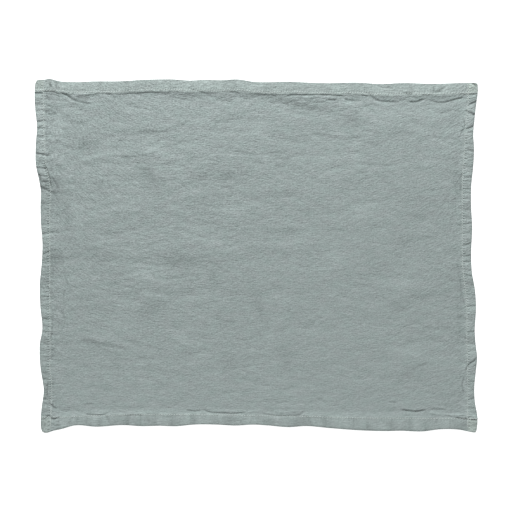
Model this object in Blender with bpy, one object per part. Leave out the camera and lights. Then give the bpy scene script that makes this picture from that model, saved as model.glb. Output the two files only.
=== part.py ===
"""A fabric placemat of washed linen, lying flat on its underside.

The mat is one cloth. Its four edges are turned under twice and sewn down, so it is one closed sheet: thin in
the middle, thicker along the hem, with a groove where the hem is sewn. The length runs along X, the depth
along Y, and the underside rests on Z = 0. All sizes below are in millimetres.
"""
from collections import namedtuple

import bmesh
import bpy
import numpy as np

MM = 0.001

# Driving sizes
LENGTH = 500.0
DEPTH = 400.0
CLOTH = 1.0             # the single cloth with its crinkle
THINNEST = 0.7          # the cloth at the bottom of a crease
HEM_WIDTH = 11.0        # from the folded edge to the stitches
HEM_RISE = 1.1          # what the two turned layers add
HEM_CROWN = 0.15        # the hem is a little fuller between its edge and its stitches
SHOULDER = 6.5          # from the stitches to where the top is down at the single cloth
GROOVE_DEPTH = 0.45     # the stitches draw the cloth in
GROOVE_WIDTH = 1.1
EDGE_ROUND = 0.6        # radius of the folded edge
BACK_LEFT_RADIUS = 4.5
BACK_RIGHT_RADIUS = 3.5
FRONT_LEFT_RADIUS = 5.5
FRONT_RIGHT_RADIUS = 3.0
LIFT_REACH = 12.0       # how far in an edge stands off the surface
REST_BOW = 0.03         # the flat area underneath is this much narrower at its corners
REST_SKIP = 4           # it has one point for this many along the edge
PULL_REACH = 60.0       # how far in the unevenness of an edge is felt
PUCKER_WIDTH = 3.2
THICKEST = 3.0          # where two hems cross in a corner

# Lines of the mesh: distances in from each edge, then even steps
EDGE_LINES = (EDGE_ROUND, 2.4, 5.0, 9.7, 11.0, 12.5, 18.0)
STEP_ALONG_LENGTH = 16.0
STEP_ALONG_DEPTH = 4.5

LINEN_COLOUR = (0.30, 0.36, 0.35, 1.0)
LINEN_ROUGHNESS = 0.9
SMOOTH_UP_TO = 55.0     # degrees between faces

# One row for each place along an edge.
#   along  place along the edge, from the mat's middle
#   edge   how far the folded edge lies outside the straight rectangle
#   seam   how far the stitches lie inside the straight rectangle
#   lift   how far the underside of the edge stands off the surface
Edge = namedtuple("Edge", "along edge seam lift")

LEFT_EDGE = (
    Edge(-200, -1.4, 12.5, 0.0), Edge(-190, -1.3, 12.6, 0.3), Edge(-178, -2.2, 13.2, 0.0),
    Edge(-153, -4.7, 14.1, 0.6), Edge(-143, -3.2, 13.8, 0.0), Edge(-134, -1.7, 12.3, 0.5),
    Edge(-112, 0.1, 12.2, 0.0), Edge(-102, -0.2, 12.2, 0.4), Edge(-86, -2.9, 12.1, 0.0),
    Edge(-58, -0.8, 11.9, 0.5), Edge(-35, 0.0, 11.8, 0.0), Edge(-8, -2.4, 11.8, 0.6),
    Edge(14, -3.2, 11.8, 0.0), Edge(38, -1.5, 11.8, 0.5), Edge(60, -1.0, 12.1, 0.2),
    Edge(74, -1.4, 12.6, 0.0), Edge(88, 0.6, 10.9, 1.0), Edge(104, 4.2, 7.4, 0.4), Edge(128, 4.6, 5.6, 0.0),
    Edge(150, 3.1, 5.0, 0.5), Edge(168, 5.2, 4.6, 0.0), Edge(190, 5.6, 4.4, 0.6), Edge(200, 4.4, 4.3, 0.3),
)
RIGHT_EDGE = (
    Edge(-200, 4.2, 5.6, 0.4), Edge(-192, 5.6, 5.6, 0.2), Edge(-166, 2.5, 5.6, 0.0),
    Edge(-154, 1.9, 5.6, 0.5), Edge(-134, 3.8, 5.7, 0.0), Edge(-117, 5.1, 6.0, 1.0),
    Edge(-100, 3.4, 6.7, 0.3), Edge(-90, 2.7, 6.7, 0.0), Edge(-57, 4.0, 6.8, 0.5), Edge(-40, 3.0, 8.3, 0.0),
    Edge(-18, -0.8, 11.0, 0.4), Edge(4, -1.6, 11.9, 0.0), Edge(30, -0.4, 11.9, 0.4),
    Edge(62, -1.7, 11.9, 0.0), Edge(80, -1.6, 11.9, 0.4), Edge(103, 0.8, 11.0, 0.0),
    Edge(126, 1.7, 9.2, 0.5), Edge(139, 0.9, 8.9, 0.0), Edge(158, 2.2, 7.3, 0.6),
    Edge(176, 4.3, 5.2, 0.0), Edge(190, 5.9, 5.0, 1.0), Edge(200, 6.0, 5.0, 0.8),
)
FRONT_EDGE = (
    Edge(-250, 4.2, 13.5, 0.2), Edge(-243, 4.4, 13.3, 0.5), Edge(-235, 2.0, 13.2, 0.4),
    Edge(-226, 0.2, 13.2, 0.3), Edge(-210, -3.9, 14.0, 0.0), Edge(-185, -2.5, 15.2, 0.3),
    Edge(-152, -4.3, 16.0, 0.0), Edge(-134, -3.2, 16.4, 0.3), Edge(-110, -3.5, 16.4, 0.0),
    Edge(-94, -3.0, 16.4, 0.2),
    Edge(-70, -5.0, 16.3, 0.0), Edge(-45, -4.9, 16.1, 0.3), Edge(-24, -3.8, 15.8, 0.0),
    Edge(-2, -4.9, 15.0, 0.4), Edge(14, -3.9, 14.8, 0.0), Edge(37, -2.0, 14.7, 0.3),
    Edge(58, -3.2, 14.3, 0.0), Edge(84, -1.0, 13.4, 0.3), Edge(124, 1.9, 12.5, 0.0),
    Edge(150, 2.5, 12.3, 0.3), Edge(168, 2.2, 12.2, 0.1), Edge(192, 3.0, 12.1, 0.0),
    Edge(212, 0.4, 12.0, 0.4), Edge(230, 1.0, 11.8, 0.0), Edge(242, 3.4, 11.6, 0.2),
    Edge(250, 4.5, 11.5, 0.4),
)
BACK_EDGE = (
    Edge(-250, 2.3, 9.6, 0.3), Edge(-245, 1.9, 9.6, 0.5), Edge(-238, 4.8, 9.6, 0.7),
    Edge(-231, 2.5, 9.6, 0.5), Edge(-225, 1.1, 9.6, 0.3), Edge(-212, 0.4, 9.6, 0.0),
    Edge(-190, 1.1, 9.6, 0.3), Edge(-160, 1.3, 9.6, 0.0), Edge(-124, 3.4, 9.5, 0.4), Edge(-95, 3.6, 9.2, 0.0),
    Edge(-76, 2.1, 7.6, 0.3), Edge(-60, 3.0, 7.3, 0.0), Edge(-42, 2.4, 7.3, 0.2), Edge(-20, 3.4, 7.5, 0.4),
    Edge(-3, 0.6, 8.6, 0.0),
    Edge(16, 0.1, 9.9, 0.5), Edge(36, 0.9, 10.8, 0.0), Edge(60, -0.3, 10.8, 0.3), Edge(80, -0.9, 10.9, 0.0),
    Edge(116, -0.2, 11.1, 0.5), Edge(144, -1.8, 11.3, 0.0), Edge(171, -0.8, 11.3, 0.3),
    Edge(200, -1.6, 11.3, 0.0), Edge(238, -0.6, 11.1, 0.4), Edge(250, -0.7, 11.0, 0.9),
)

# The valleys that cross the two side hems where the stitches have drawn them up.
#   along  place along the edge, at the middle of the hem
#   slant  how much further along the valley lies at the stitches than at the edge
#   depth  how deep it is
Pucker = namedtuple("Pucker", "along slant depth")

LEFT_PUCKERS = (
    Pucker(189, 0, 1.0), Pucker(170, 0, 0.6), Pucker(155, -2, 0.9), Pucker(137, 0, 0.5), Pucker(118, -2, 0.9),
    Pucker(102, -2, 0.6), Pucker(78, -5, 1.0), Pucker(60, 0, 0.7), Pucker(26, 1, 0.8), Pucker(3, 3, 0.9),
    Pucker(-18, 0, 0.5), Pucker(-43, -2, 0.7), Pucker(-75, 0, 0.6), Pucker(-89, 0, 0.5), Pucker(-112, 0, 0.6),
    Pucker(-143, 0, 0.9), Pucker(-168, 0, 0.7), Pucker(-187, 0, 0.8),
)
RIGHT_PUCKERS = (
    Pucker(176, -4, 1.0), Pucker(164, 0, 0.9), Pucker(147, -4, 0.9), Pucker(121, 3, 0.8), Pucker(103, 0, 0.5),
    Pucker(89, 0, 0.8), Pucker(73, 0, 0.5), Pucker(53, 0, 0.6), Pucker(36, -3, 0.7), Pucker(13, -3, 0.8),
    Pucker(-4, 0, 0.8), Pucker(-20, 2, 0.6), Pucker(-45, 0, 0.5), Pucker(-58, 0, 0.8), Pucker(-88, -2, 0.7),
    Pucker(-101, 2, 0.7), Pucker(-121, -7, 1.0), Pucker(-143, 0, 0.6), Pucker(-166, -2, 0.6),
    Pucker(-188, 0, 0.6),
)

# The main creases, ridges and low swells of the top.
#   x0 y0 x1 y1  where it starts and ends, from the mat's middle
#   bow          how far its middle stands off the straight line, to the left of the way it runs
#   width        how far from its line it is felt
#   rise         height of a ridge, or depth of a trough as a negative number
Crease = namedtuple("Crease", "x0 y0 x1 y1 bow width rise")

CREASES = (
    # inside the back hem
    Crease(-245, 189, -226, 188, 2, 2.6, -0.8),
    Crease(-225, 188, -190, 177, -2, 2.8, -0.9),
    Crease(-213, 185, -188, 188, 2, 2.6, -0.5),
    Crease(-186, 187, -98, 188, 1, 2.6, -0.6),
    Crease(-88, 189, -30, 190, 0, 2.6, -0.4),
    Crease(-10, 188, 24, 184, 0, 2.8, -0.6),
    Crease(35, 185, 104, 185, 1, 2.6, -0.9),
    Crease(36, 181, 94, 181, 1, 3.0, 0.7),
    Crease(22, 177, 86, 170, -3, 5.0, -0.5),
    Crease(96, 177, 116, 171, 0, 7.0, 0.9),
    Crease(104, 182, 130, 184, -1, 2.8, -0.6),
    Crease(132, 186, 174, 179, -4, 3.0, -0.9),
    Crease(138, 184, 228, 184, 0, 3.5, 0.5),
    Crease(174, 179, 195, 180, -3, 3.0, -0.8),
    Crease(195, 180, 240, 182, -5, 3.0, -0.9),
    # inside the front hem
    Crease(-239, -185, -226, -188, -1, 2.6, -0.9),
    Crease(-200, -173, -186, -171, 0, 2.8, -0.5),
    Crease(-197, -183, -171, -181, -2, 2.6, -0.6),
    Crease(-150, -184, -131, -184, 0, 2.6, -0.4),
    Crease(-81, -178, -14, -181, -1, 2.8, -0.6),
    Crease(7, -182, 55, -180, -3, 2.8, -0.6),
    Crease(20, -178, 52, -177, 0, 4.0, 0.6),
    Crease(170, -178, 195, -178, -2, 2.6, -0.8),
    Crease(199, -181, 243, -184, 0, 3.0, 0.7),
    Crease(230, -187, 245, -187, -1, 2.6, -0.8),
    # beside the left and the right stitches
    Crease(-243, 106, -237, 78, 2, 2.6, -0.8),
    Crease(-233, 93, -226, 77, 0, 5.0, -0.5),
    Crease(-239, 166, -226, 164, 0, 5.0, -0.5),
    Crease(233, 88, 232, 58, 0, 5.0, -0.4),
    Crease(234, -2, 233, -46, 0, 5.0, -0.4),
    Crease(241, -126, 238, -160, 0, 2.8, -0.7),
    # across the middle of the cloth
    Crease(-248, 9, 248, 9, 0, 9.0, 0.5),
    Crease(-244, -2, -160, -2, 0, 9.0, -0.3),
    Crease(-204, 107, -123, 119, 2, 6.0, 0.7),
    Crease(-153, 138, -98, 144, 1, 4.0, -0.3),
    Crease(-210, 128, -184, 128, 0, 9.0, -0.3),
    Crease(-204, -97, -146, -108, -1, 6.0, -0.3),
    Crease(-105, -5, -65, -5, 0, 9.0, -0.3),
    Crease(184, 62, 195, 55, 0, 5.0, 0.4),
    Crease(181, -132, 200, -123, 0, 6.0, -0.3),
    Crease(-60, 96, 40, 100, 6, 14.0, 0.5),
    Crease(60, -60, 170, -40, 8, 16.0, 0.4),
    Crease(-120, -60, -30, -78, -6, 16.0, 0.4),
    Crease(-40, 40, 70, 30, 5, 14.0, 0.4),
)


# The low ripple of washed cloth: even waves, each by the length between its crests along X and along Y.
Ripple = namedtuple("Ripple", "length_x length_y start height")

RIPPLES = (Ripple(170, 47, 0.4, 0.10), Ripple(-230, 71, 2.1, 0.12), Ripple(96, -33, 4.0, 0.06))


def ease(value):
    """0 below 0, 1 above 1, and a smooth rise between."""
    value = np.clip(value, 0.0, 1.0)
    return value * value * (3.0 - 2.0 * value)


def read_rows(rows, column, along):
    """One column of an edge's rows, at places along it, on a smooth curve through the rows."""
    places = np.array([row.along for row in rows], dtype=float)
    values = np.array([getattr(row, column) for row in rows], dtype=float)
    slopes = np.gradient(values, places)
    first = np.clip(np.searchsorted(places, along) - 1, 0, len(rows) - 2)
    span = places[first + 1] - places[first]
    part = np.clip((along - places[first]) / span, 0.0, 1.0)
    rest = 1.0 - part
    start = values[first] * rest * rest * (1.0 + 2.0 * part) + slopes[first] * span * part * rest * rest
    end = values[first + 1] * part * part * (3.0 - 2.0 * part)
    return start + end - slopes[first + 1] * span * part * part * rest


def round_corners(u, v):
    """Draws the square corners of the straight rectangle in to a quarter circle."""
    left = np.where(v < 0, FRONT_LEFT_RADIUS, BACK_LEFT_RADIUS)
    right = np.where(v < 0, FRONT_RIGHT_RADIUS, BACK_RIGHT_RADIUS)
    radius = np.where(u < 0, left, right)
    side_u = np.clip((np.abs(u) - LENGTH / 2 + radius) / radius, 0.0, 1.0)
    side_v = np.clip((np.abs(v) - DEPTH / 2 + radius) / radius, 0.0, 1.0)
    pull_u = radius * side_u * (np.sqrt(1.0 - side_v ** 2 / 2) - 1.0)
    pull_v = radius * side_v * (np.sqrt(1.0 - side_u ** 2 / 2) - 1.0)
    return u + np.sign(u) * pull_u, v + np.sign(v) * pull_v


def edge_pull(rows, along, inward):
    """How far outward the cloth is moved at a distance in from the straight edge."""
    at_edge = read_rows(rows, "edge", along)
    at_seam = HEM_WIDTH - read_rows(rows, "seam", along)
    across = np.clip(inward / HEM_WIDTH, 0.0, 1.0)
    fade = 1.0 - ease((inward - HEM_WIDTH) / (PULL_REACH - HEM_WIDTH))
    return (at_edge + (at_seam - at_edge) * across) * fade


def lay_flat(u, v):
    """Where a point of the straight rectangle lies on the uneven mat."""
    from_side = LENGTH / 2 - np.abs(u)
    from_end = DEPTH / 2 - np.abs(v)
    sideways = np.where(u < 0, -edge_pull(LEFT_EDGE, v, from_side), edge_pull(RIGHT_EDGE, v, from_side))
    endways = np.where(v < 0, -edge_pull(FRONT_EDGE, u, from_end), edge_pull(BACK_EDGE, u, from_end))
    round_u, round_v = round_corners(u, v)
    return round_u + sideways, round_v + endways


def edge_lift(u, v):
    """How far the underside stands off the surface, near the edges only."""
    side = 1.0 - ease((LENGTH / 2 - np.abs(u)) / LIFT_REACH)
    end = 1.0 - ease((DEPTH / 2 - np.abs(v)) / LIFT_REACH)
    side_lift = np.where(u < 0, read_rows(LEFT_EDGE, "lift", v), read_rows(RIGHT_EDGE, "lift", v))
    end_lift = np.where(v < 0, read_rows(FRONT_EDGE, "lift", u), read_rows(BACK_EDGE, "lift", u))
    return np.maximum(0.0, np.maximum(side * side_lift, end * end_lift))


def hem_height(inward):
    """What a hem adds to the single cloth, from its folded edge to its shoulder."""
    crown = HEM_CROWN * np.sin(np.pi * np.clip(inward / HEM_WIDTH, 0.0, 1.0))
    shoulder = 1.0 - ease((inward - HEM_WIDTH) / SHOULDER)
    groove = GROOVE_DEPTH * np.exp(-((inward - HEM_WIDTH) / GROOVE_WIDTH) ** 2)
    return HEM_RISE * shoulder + crown - groove


def pucker_height(puckers, inward, along):
    """The valleys across one side hem."""
    total = np.zeros_like(along)
    reach = 1.0 - ease((inward - HEM_WIDTH) / SHOULDER)
    for pucker in puckers:
        line = pucker.along + pucker.slant * (inward / HEM_WIDTH - 0.5)
        total -= pucker.depth * reach * np.exp(-((along - line) / PUCKER_WIDTH) ** 2)
    return total


def crease_height(crease, x, y):
    """One crease's ridge or trough, which dies away at both ends."""
    run_x, run_y = crease.x1 - crease.x0, crease.y1 - crease.y0
    run = np.hypot(run_x, run_y)
    along = ((x - crease.x0) * run_x + (y - crease.y0) * run_y) / run
    across = ((y - crease.y0) * run_x - (x - crease.x0) * run_y) / run
    part = np.clip(along / run, 0.0, 1.0)
    off_line = across - crease.bow * 4.0 * part * (1.0 - part)
    past_end = along - part * run
    fade = ease(3.0 * part + 0.4) * ease(3.0 * (1.0 - part) + 0.4)
    return crease.rise * fade * np.exp(-(off_line ** 2 + past_end ** 2) / crease.width ** 2)


def ripple_height(ripple, x, y):
    """One even wave of the cloth."""
    return ripple.height * np.sin(2.0 * np.pi * (x / ripple.length_x + y / ripple.length_y) + ripple.start)


def top_height(u, v, x, y):
    """Height of the mat's top, without the lift of its edges."""
    from_side = LENGTH / 2 - np.abs(u)
    from_end = DEPTH / 2 - np.abs(v)
    hems = np.minimum(hem_height(from_side) + hem_height(from_end), THICKEST - CLOTH)
    valleys = np.where(
        u < 0, pucker_height(LEFT_PUCKERS, from_side, v), pucker_height(RIGHT_PUCKERS, from_side, v))
    folds = sum(crease_height(crease, x, y) for crease in CREASES)
    waves = sum(ripple_height(ripple, x, y) for ripple in RIPPLES)
    return np.maximum(CLOTH + hems + valleys + folds + waves, THINNEST)


def mesh_lines(size, step):
    """Places of the mesh's lines across the mat: close together in the hems and even between them."""
    near = [size / 2 - inward for inward in EDGE_LINES]
    inner = near[-1]
    count = int(round(2 * inner / step))
    middle = list(np.linspace(-inner, inner, count + 1)[1:-1])
    return np.array([-place for place in near] + middle + near[::-1])


def add_points(mesh, u, v, heights):
    """Adds a vertex for each point of the straight rectangle, at the given heights."""
    x, y = lay_flat(u, v)
    return [mesh.verts.new((px * MM, py * MM, pz * MM)) for px, py, pz in zip(x, y, heights)]


def bridge(mesh, upper, lower):
    """Joins two rings that run the same way round, the upper one first."""
    count = len(upper)
    for index in range(count):
        after = (index + 1) % count
        mesh.faces.new((upper[index], lower[index], lower[after], upper[after]))


def rest_outline(rim_u, rim_v):
    """The flat area that the mat rests on: a rectangle whose sides bow out a little."""
    along_u = rim_u[::REST_SKIP] / (LENGTH / 2 - EDGE_ROUND)
    along_v = rim_v[::REST_SKIP] / (DEPTH / 2 - EDGE_ROUND)
    x = along_u * (LENGTH / 2 - LIFT_REACH) * (1.0 - REST_BOW * along_v ** 2)
    y = along_v * (DEPTH / 2 - LIFT_REACH) * (1.0 - REST_BOW * along_u ** 2)
    return x, y


def fan_in(mesh, outer, inner):
    """Joins a ring to one inside it, which has one point for every REST_SKIP of the outer ring's."""
    count = len(outer)
    for index, point in enumerate(inner):
        first = index * REST_SKIP - REST_SKIP // 2
        for step in range(first, first + REST_SKIP):
            mesh.faces.new((outer[step % count], point, outer[(step + 1) % count]))
        last = outer[(first + REST_SKIP) % count]
        mesh.faces.new((last, point, inner[(index + 1) % len(inner)]))


def build_cloth():
    """The whole mat: its top, its rounded rim and its underside."""
    lines_u = mesh_lines(LENGTH, STEP_ALONG_LENGTH)
    lines_v = mesh_lines(DEPTH, STEP_ALONG_DEPTH)
    columns, rows = len(lines_u), len(lines_v)
    u, v = (grid.ravel() for grid in np.meshgrid(lines_u, lines_v))
    x, y = lay_flat(u, v)
    lift = edge_lift(u, v)
    top = top_height(u, v, x, y) + lift

    mesh = bmesh.new()
    grid = add_points(mesh, u, v, top)
    for row in range(rows - 1):
        for column in range(columns - 1):
            near = row * columns + column
            far = near + columns
            mesh.faces.new((grid[near], grid[near + 1], grid[far + 1], grid[far]))

    around = list(range(columns))
    around += [row * columns + columns - 1 for row in range(1, rows)]
    around += [rows * columns - 1 - step for step in range(1, columns)]
    around += [(rows - 1 - step) * columns for step in range(1, rows - 1)]
    rim_u, rim_v = u[around], v[around]
    full_u, full_v = LENGTH / 2 - EDGE_ROUND, DEPTH / 2 - EDGE_ROUND
    widen_u, widen_v = LENGTH / 2 / full_u, DEPTH / 2 / full_v
    upper = [grid[index] for index in around]
    edge = add_points(mesh, rim_u * widen_u, rim_v * widen_v, (top[around] + lift[around]) / 2)
    lower = add_points(mesh, rim_u, rim_v, lift[around])
    bridge(mesh, upper, edge)
    bridge(mesh, edge, lower)

    rest_x, rest_y = rest_outline(rim_u, rim_v)
    resting = [mesh.verts.new((px * MM, py * MM, 0.0)) for px, py in zip(rest_x, rest_y)]
    fan_in(mesh, lower, resting)
    mesh.faces.new(resting[::-1])

    shape = bpy.data.meshes.new("mat_cloth")
    mesh.to_mesh(shape)
    mesh.free()
    shape.shade_smooth()
    shape.set_sharp_from_angle(angle=np.radians(SMOOTH_UP_TO))
    cloth = bpy.data.objects.new("mat_cloth", shape)
    bpy.context.scene.collection.objects.link(cloth)
    return cloth


def washed_linen():
    """Matt grey-green linen."""
    material = bpy.data.materials.new("washed linen")
    material.use_nodes = True
    shader = material.node_tree.nodes["Principled BSDF"]
    shader.inputs["Base Color"].default_value = LINEN_COLOUR
    shader.inputs["Roughness"].default_value = LINEN_ROUGHNESS
    shader.inputs["Metallic"].default_value = 0.0
    return material


for leftover in list(bpy.data.objects):
    bpy.data.objects.remove(leftover)

mat_cloth = build_cloth()
mat_cloth.data.materials.append(washed_linen())
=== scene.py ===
"""Dresses the placemat: its washed linen cloth with turned hems, the hems' stitching, and the stage.

The mat lies flat on Z = 0. Its length runs along X and its depth along Y. The tables below are in
millimetres, from the mat's middle; Blender's own sizes are in metres.
"""
from collections import namedtuple

import bmesh
import bpy
import numpy as np
from bpy.props import FloatProperty, FloatVectorProperty, PointerProperty
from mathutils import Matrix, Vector, noise


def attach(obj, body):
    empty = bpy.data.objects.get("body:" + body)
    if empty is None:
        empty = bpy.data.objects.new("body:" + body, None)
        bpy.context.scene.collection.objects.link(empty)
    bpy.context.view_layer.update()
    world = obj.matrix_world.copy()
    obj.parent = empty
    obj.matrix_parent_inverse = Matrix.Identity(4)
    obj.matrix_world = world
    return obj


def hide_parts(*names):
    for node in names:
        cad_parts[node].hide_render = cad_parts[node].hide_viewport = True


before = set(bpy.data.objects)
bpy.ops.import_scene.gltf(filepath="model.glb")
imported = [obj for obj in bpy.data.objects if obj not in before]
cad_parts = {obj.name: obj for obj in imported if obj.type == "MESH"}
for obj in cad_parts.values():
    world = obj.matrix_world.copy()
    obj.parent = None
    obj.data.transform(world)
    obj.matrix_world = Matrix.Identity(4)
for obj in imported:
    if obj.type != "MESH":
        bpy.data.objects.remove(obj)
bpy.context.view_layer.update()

bl_info = {
    "name": "Linen Placemat",
    "version": (1, 0, 0),
    "blender": (4, 5, 0),
    "location": "View3D > Sidebar > Placemat",
    "description": "Makes a washed linen placemat with sewn hems",
    "category": "Add Mesh",
}

MM = 0.001


def rows_of(kind, *rows):
    """A table's rows, each with the names of its columns."""
    return tuple(kind(*row) for row in rows)


# ---------------------------------------------------------------------------------------------------------
# The mat's edges, creases and swells
# ---------------------------------------------------------------------------------------------------------

# One row for each place along an edge.
#   along  place along the edge, from the mat's middle
#   edge   how far the folded edge lies outside the straight rectangle
#   seam   how far the stitches lie inside the straight rectangle
#   lift   how far the underside of the edge stands off the surface
Edge = namedtuple("Edge", "along edge seam lift")

LEFT_EDGE = rows_of(
    Edge,
    (-200, -1.4, 12.5, 0.0), (-190, -1.3, 12.6, 0.3), (-178, -2.2, 13.2, 0.0), (-153, -4.7, 14.1, 0.6),
    (-143, -3.2, 13.8, 0.0), (-134, -1.7, 12.3, 0.5), (-112, 0.1, 12.2, 0.0), (-102, -0.2, 12.2, 0.4),
    (-86, -2.9, 12.1, 0.0), (-58, -0.8, 11.9, 0.5), (-35, 0.0, 11.8, 0.0), (-8, -2.4, 11.8, 0.6),
    (14, -3.2, 11.8, 0.0), (38, -1.5, 11.8, 0.5), (60, -1.0, 12.1, 0.2), (74, -1.4, 12.6, 0.0),
    (88, 0.6, 10.9, 1.0), (104, 4.2, 7.4, 0.4), (128, 4.6, 5.6, 0.0), (150, 3.1, 5.0, 0.5),
    (168, 5.2, 4.6, 0.0), (190, 5.6, 4.4, 0.6), (200, 4.4, 4.3, 0.3),
)
RIGHT_EDGE = rows_of(
    Edge,
    (-200, 4.2, 5.6, 0.4), (-192, 5.6, 5.6, 0.2), (-166, 2.5, 5.6, 0.0), (-154, 1.9, 5.6, 0.5),
    (-134, 3.8, 5.7, 0.0), (-117, 5.1, 6.0, 1.0), (-100, 3.4, 6.7, 0.3), (-90, 2.7, 6.7, 0.0),
    (-57, 4.0, 6.8, 0.5), (-40, 3.0, 8.3, 0.0), (-18, -0.8, 11.0, 0.4), (4, -1.6, 11.9, 0.0),
    (30, -0.4, 11.9, 0.4), (62, -1.7, 11.9, 0.0), (80, -1.6, 11.9, 0.4), (103, 0.8, 11.0, 0.0),
    (126, 1.7, 9.2, 0.5), (139, 0.9, 8.9, 0.0), (158, 2.2, 7.3, 0.6), (176, 4.3, 5.2, 0.0),
    (190, 5.9, 5.0, 1.0), (200, 6.0, 5.0, 0.8),
)
FRONT_EDGE = rows_of(
    Edge,
    (-250, 4.2, 13.5, 0.2), (-243, 4.4, 13.3, 0.5), (-235, 2.0, 13.2, 0.4), (-226, 0.2, 13.2, 0.3),
    (-210, -3.9, 14.0, 0.0), (-185, -2.5, 15.2, 0.3), (-152, -4.3, 16.0, 0.0), (-134, -3.2, 16.4, 0.3),
    (-110, -3.5, 16.4, 0.0), (-94, -3.0, 16.4, 0.2), (-70, -5.0, 16.3, 0.0), (-45, -4.9, 16.1, 0.3),
    (-24, -3.8, 15.8, 0.0), (-2, -4.9, 15.0, 0.4), (14, -3.9, 14.8, 0.0), (37, -2.0, 14.7, 0.3),
    (58, -3.2, 14.3, 0.0), (84, -1.0, 13.4, 0.3), (124, 1.9, 12.5, 0.0), (150, 2.5, 12.3, 0.3),
    (168, 2.2, 12.2, 0.1), (192, 3.0, 12.1, 0.0), (212, 0.4, 12.0, 0.4), (230, 1.0, 11.8, 0.0),
    (242, 3.4, 11.6, 0.2), (250, 4.5, 11.5, 0.4),
)
BACK_EDGE = rows_of(
    Edge,
    (-250, 3.4, 8.8, 0.3), (-246, 3.2, 8.8, 0.5), (-241, 3.2, 8.8, 0.6), (-237, 3.5, 8.8, 0.7),
    (-232, 4.5, 8.8, 0.6), (-227, 3.1, 9.2, 0.5), (-223, 1.8, 9.6, 0.3), (-216, 1.0, 10.4, 0.1),
    (-204, 0.8, 11.0, 0.0), (-190, 1.4, 11.0, 0.3), (-160, 1.6, 10.6, 0.0), (-124, 3.5, 8.6, 0.4),
    (-95, 3.8, 8.3, 0.0), (-76, 2.5, 9.2, 0.3), (-60, 3.3, 9.0, 0.0), (-42, 2.9, 9.2, 0.2),
    (-20, 3.7, 8.6, 0.4), (-3, 1.1, 10.4, 0.0), (16, 0.6, 11.6, 0.5), (36, 1.3, 11.0, 0.0),
    (60, 0.1, 11.4, 0.3), (80, -0.5, 12.4, 0.0), (116, 0.1, 12.0, 0.5), (144, -1.4, 13.2, 0.0),
    (171, -0.4, 12.7, 0.3), (200, -1.2, 13.2, 0.0), (238, -0.3, 12.0, 0.4), (250, -0.4, 11.6, 0.9),
)

# Radius of each corner
BACK_LEFT_RADIUS = 4.5
BACK_RIGHT_RADIUS = 3.5
FRONT_LEFT_RADIUS = 5.5
FRONT_RIGHT_RADIUS = 3.0

# The valleys that cross a hem where the stitches have drawn it up.
#   along  place along the edge, at the middle of the hem
#   slant  how much further along the valley lies at the stitches than at the edge
#   start  how far in from the edge it starts
#   reach  how far in from the edge it ends
#   width  how far to each side it is felt
#   depth  how deep it is
Pucker = namedtuple("Pucker", "along slant start reach width depth")

LEFT_PUCKERS = rows_of(
    Pucker,
    (187.6, 0, 0, 11, 1.5, 1.1), (174, 0, 0, 12, 2.2, 0.5), (167, 0, 0, 19, 1.4, 0.6),
    (155, 1, 0, 13, 1.4, 0.8), (147, 0, 0, 14, 1.4, 0.5), (137, -1, 2, 13, 1.4, 0.5),
    (131, 5, 0, 5, 1.2, 0.8), (117.5, -2, 0, 18, 1.3, 1.0), (101, -1, 0, 12, 1.4, 0.9),
    (92, -2, 0, 11, 1.2, 0.5), (85, 0, 3, 13, 1.2, 0.5), (77, -7, 0, 20, 1.6, 0.9),
    (60.5, 0, 0, 12, 2.2, 0.45), (48, 0, 0, 11, 1.4, 0.2), (35.5, 0, 0, 12, 1.2, 0.35),
    (25.7, 1, 0, 11, 1.4, 0.5), (14, 0, 2, 12, 1.4, 0.2), (3.1, 4, 0, 13, 1.4, 0.75),
    (-8.4, 0, 0, 12, 1.3, 0.35), (-13.6, 0, 0, 12, 1.2, 0.25), (-22.3, 0, 0, 12, 1.3, 0.25),
    (-37.9, 0, 0, 12, 1.4, 0.25), (-42.5, -3, 3, 14, 1.1, 0.3), (-47.7, 0, 0, 14, 1.3, 0.4),
    (-51.5, 3, 3, 14, 1.1, 0.3), (-62, 0, 1, 12, 1.3, 0.2), (-73.2, 0, 0, 12, 1.4, 0.3),
    (-81.3, 0, 2, 12, 1.2, 0.25), (-88.2, 0, 0, 12, 1.3, 0.3), (-101, 0, 3, 12, 1.6, 0.2),
    (-112.5, 0, 0, 12, 1.5, 0.3), (-128.1, 0, 0, 12, 1.5, 0.25), (-142.5, 0, 0, 8, 1.3, 0.65),
    (-154, 0, 6, 13, 1.3, 0.25), (-165.7, 0, 0, 13, 1.3, 0.45), (-171.4, -4, 4, 15, 1.2, 0.45),
    (-184.7, -3, 0, 13, 1.3, 0.3), (-189.4, 0, 0, 10, 1.3, 0.4),
)
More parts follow.
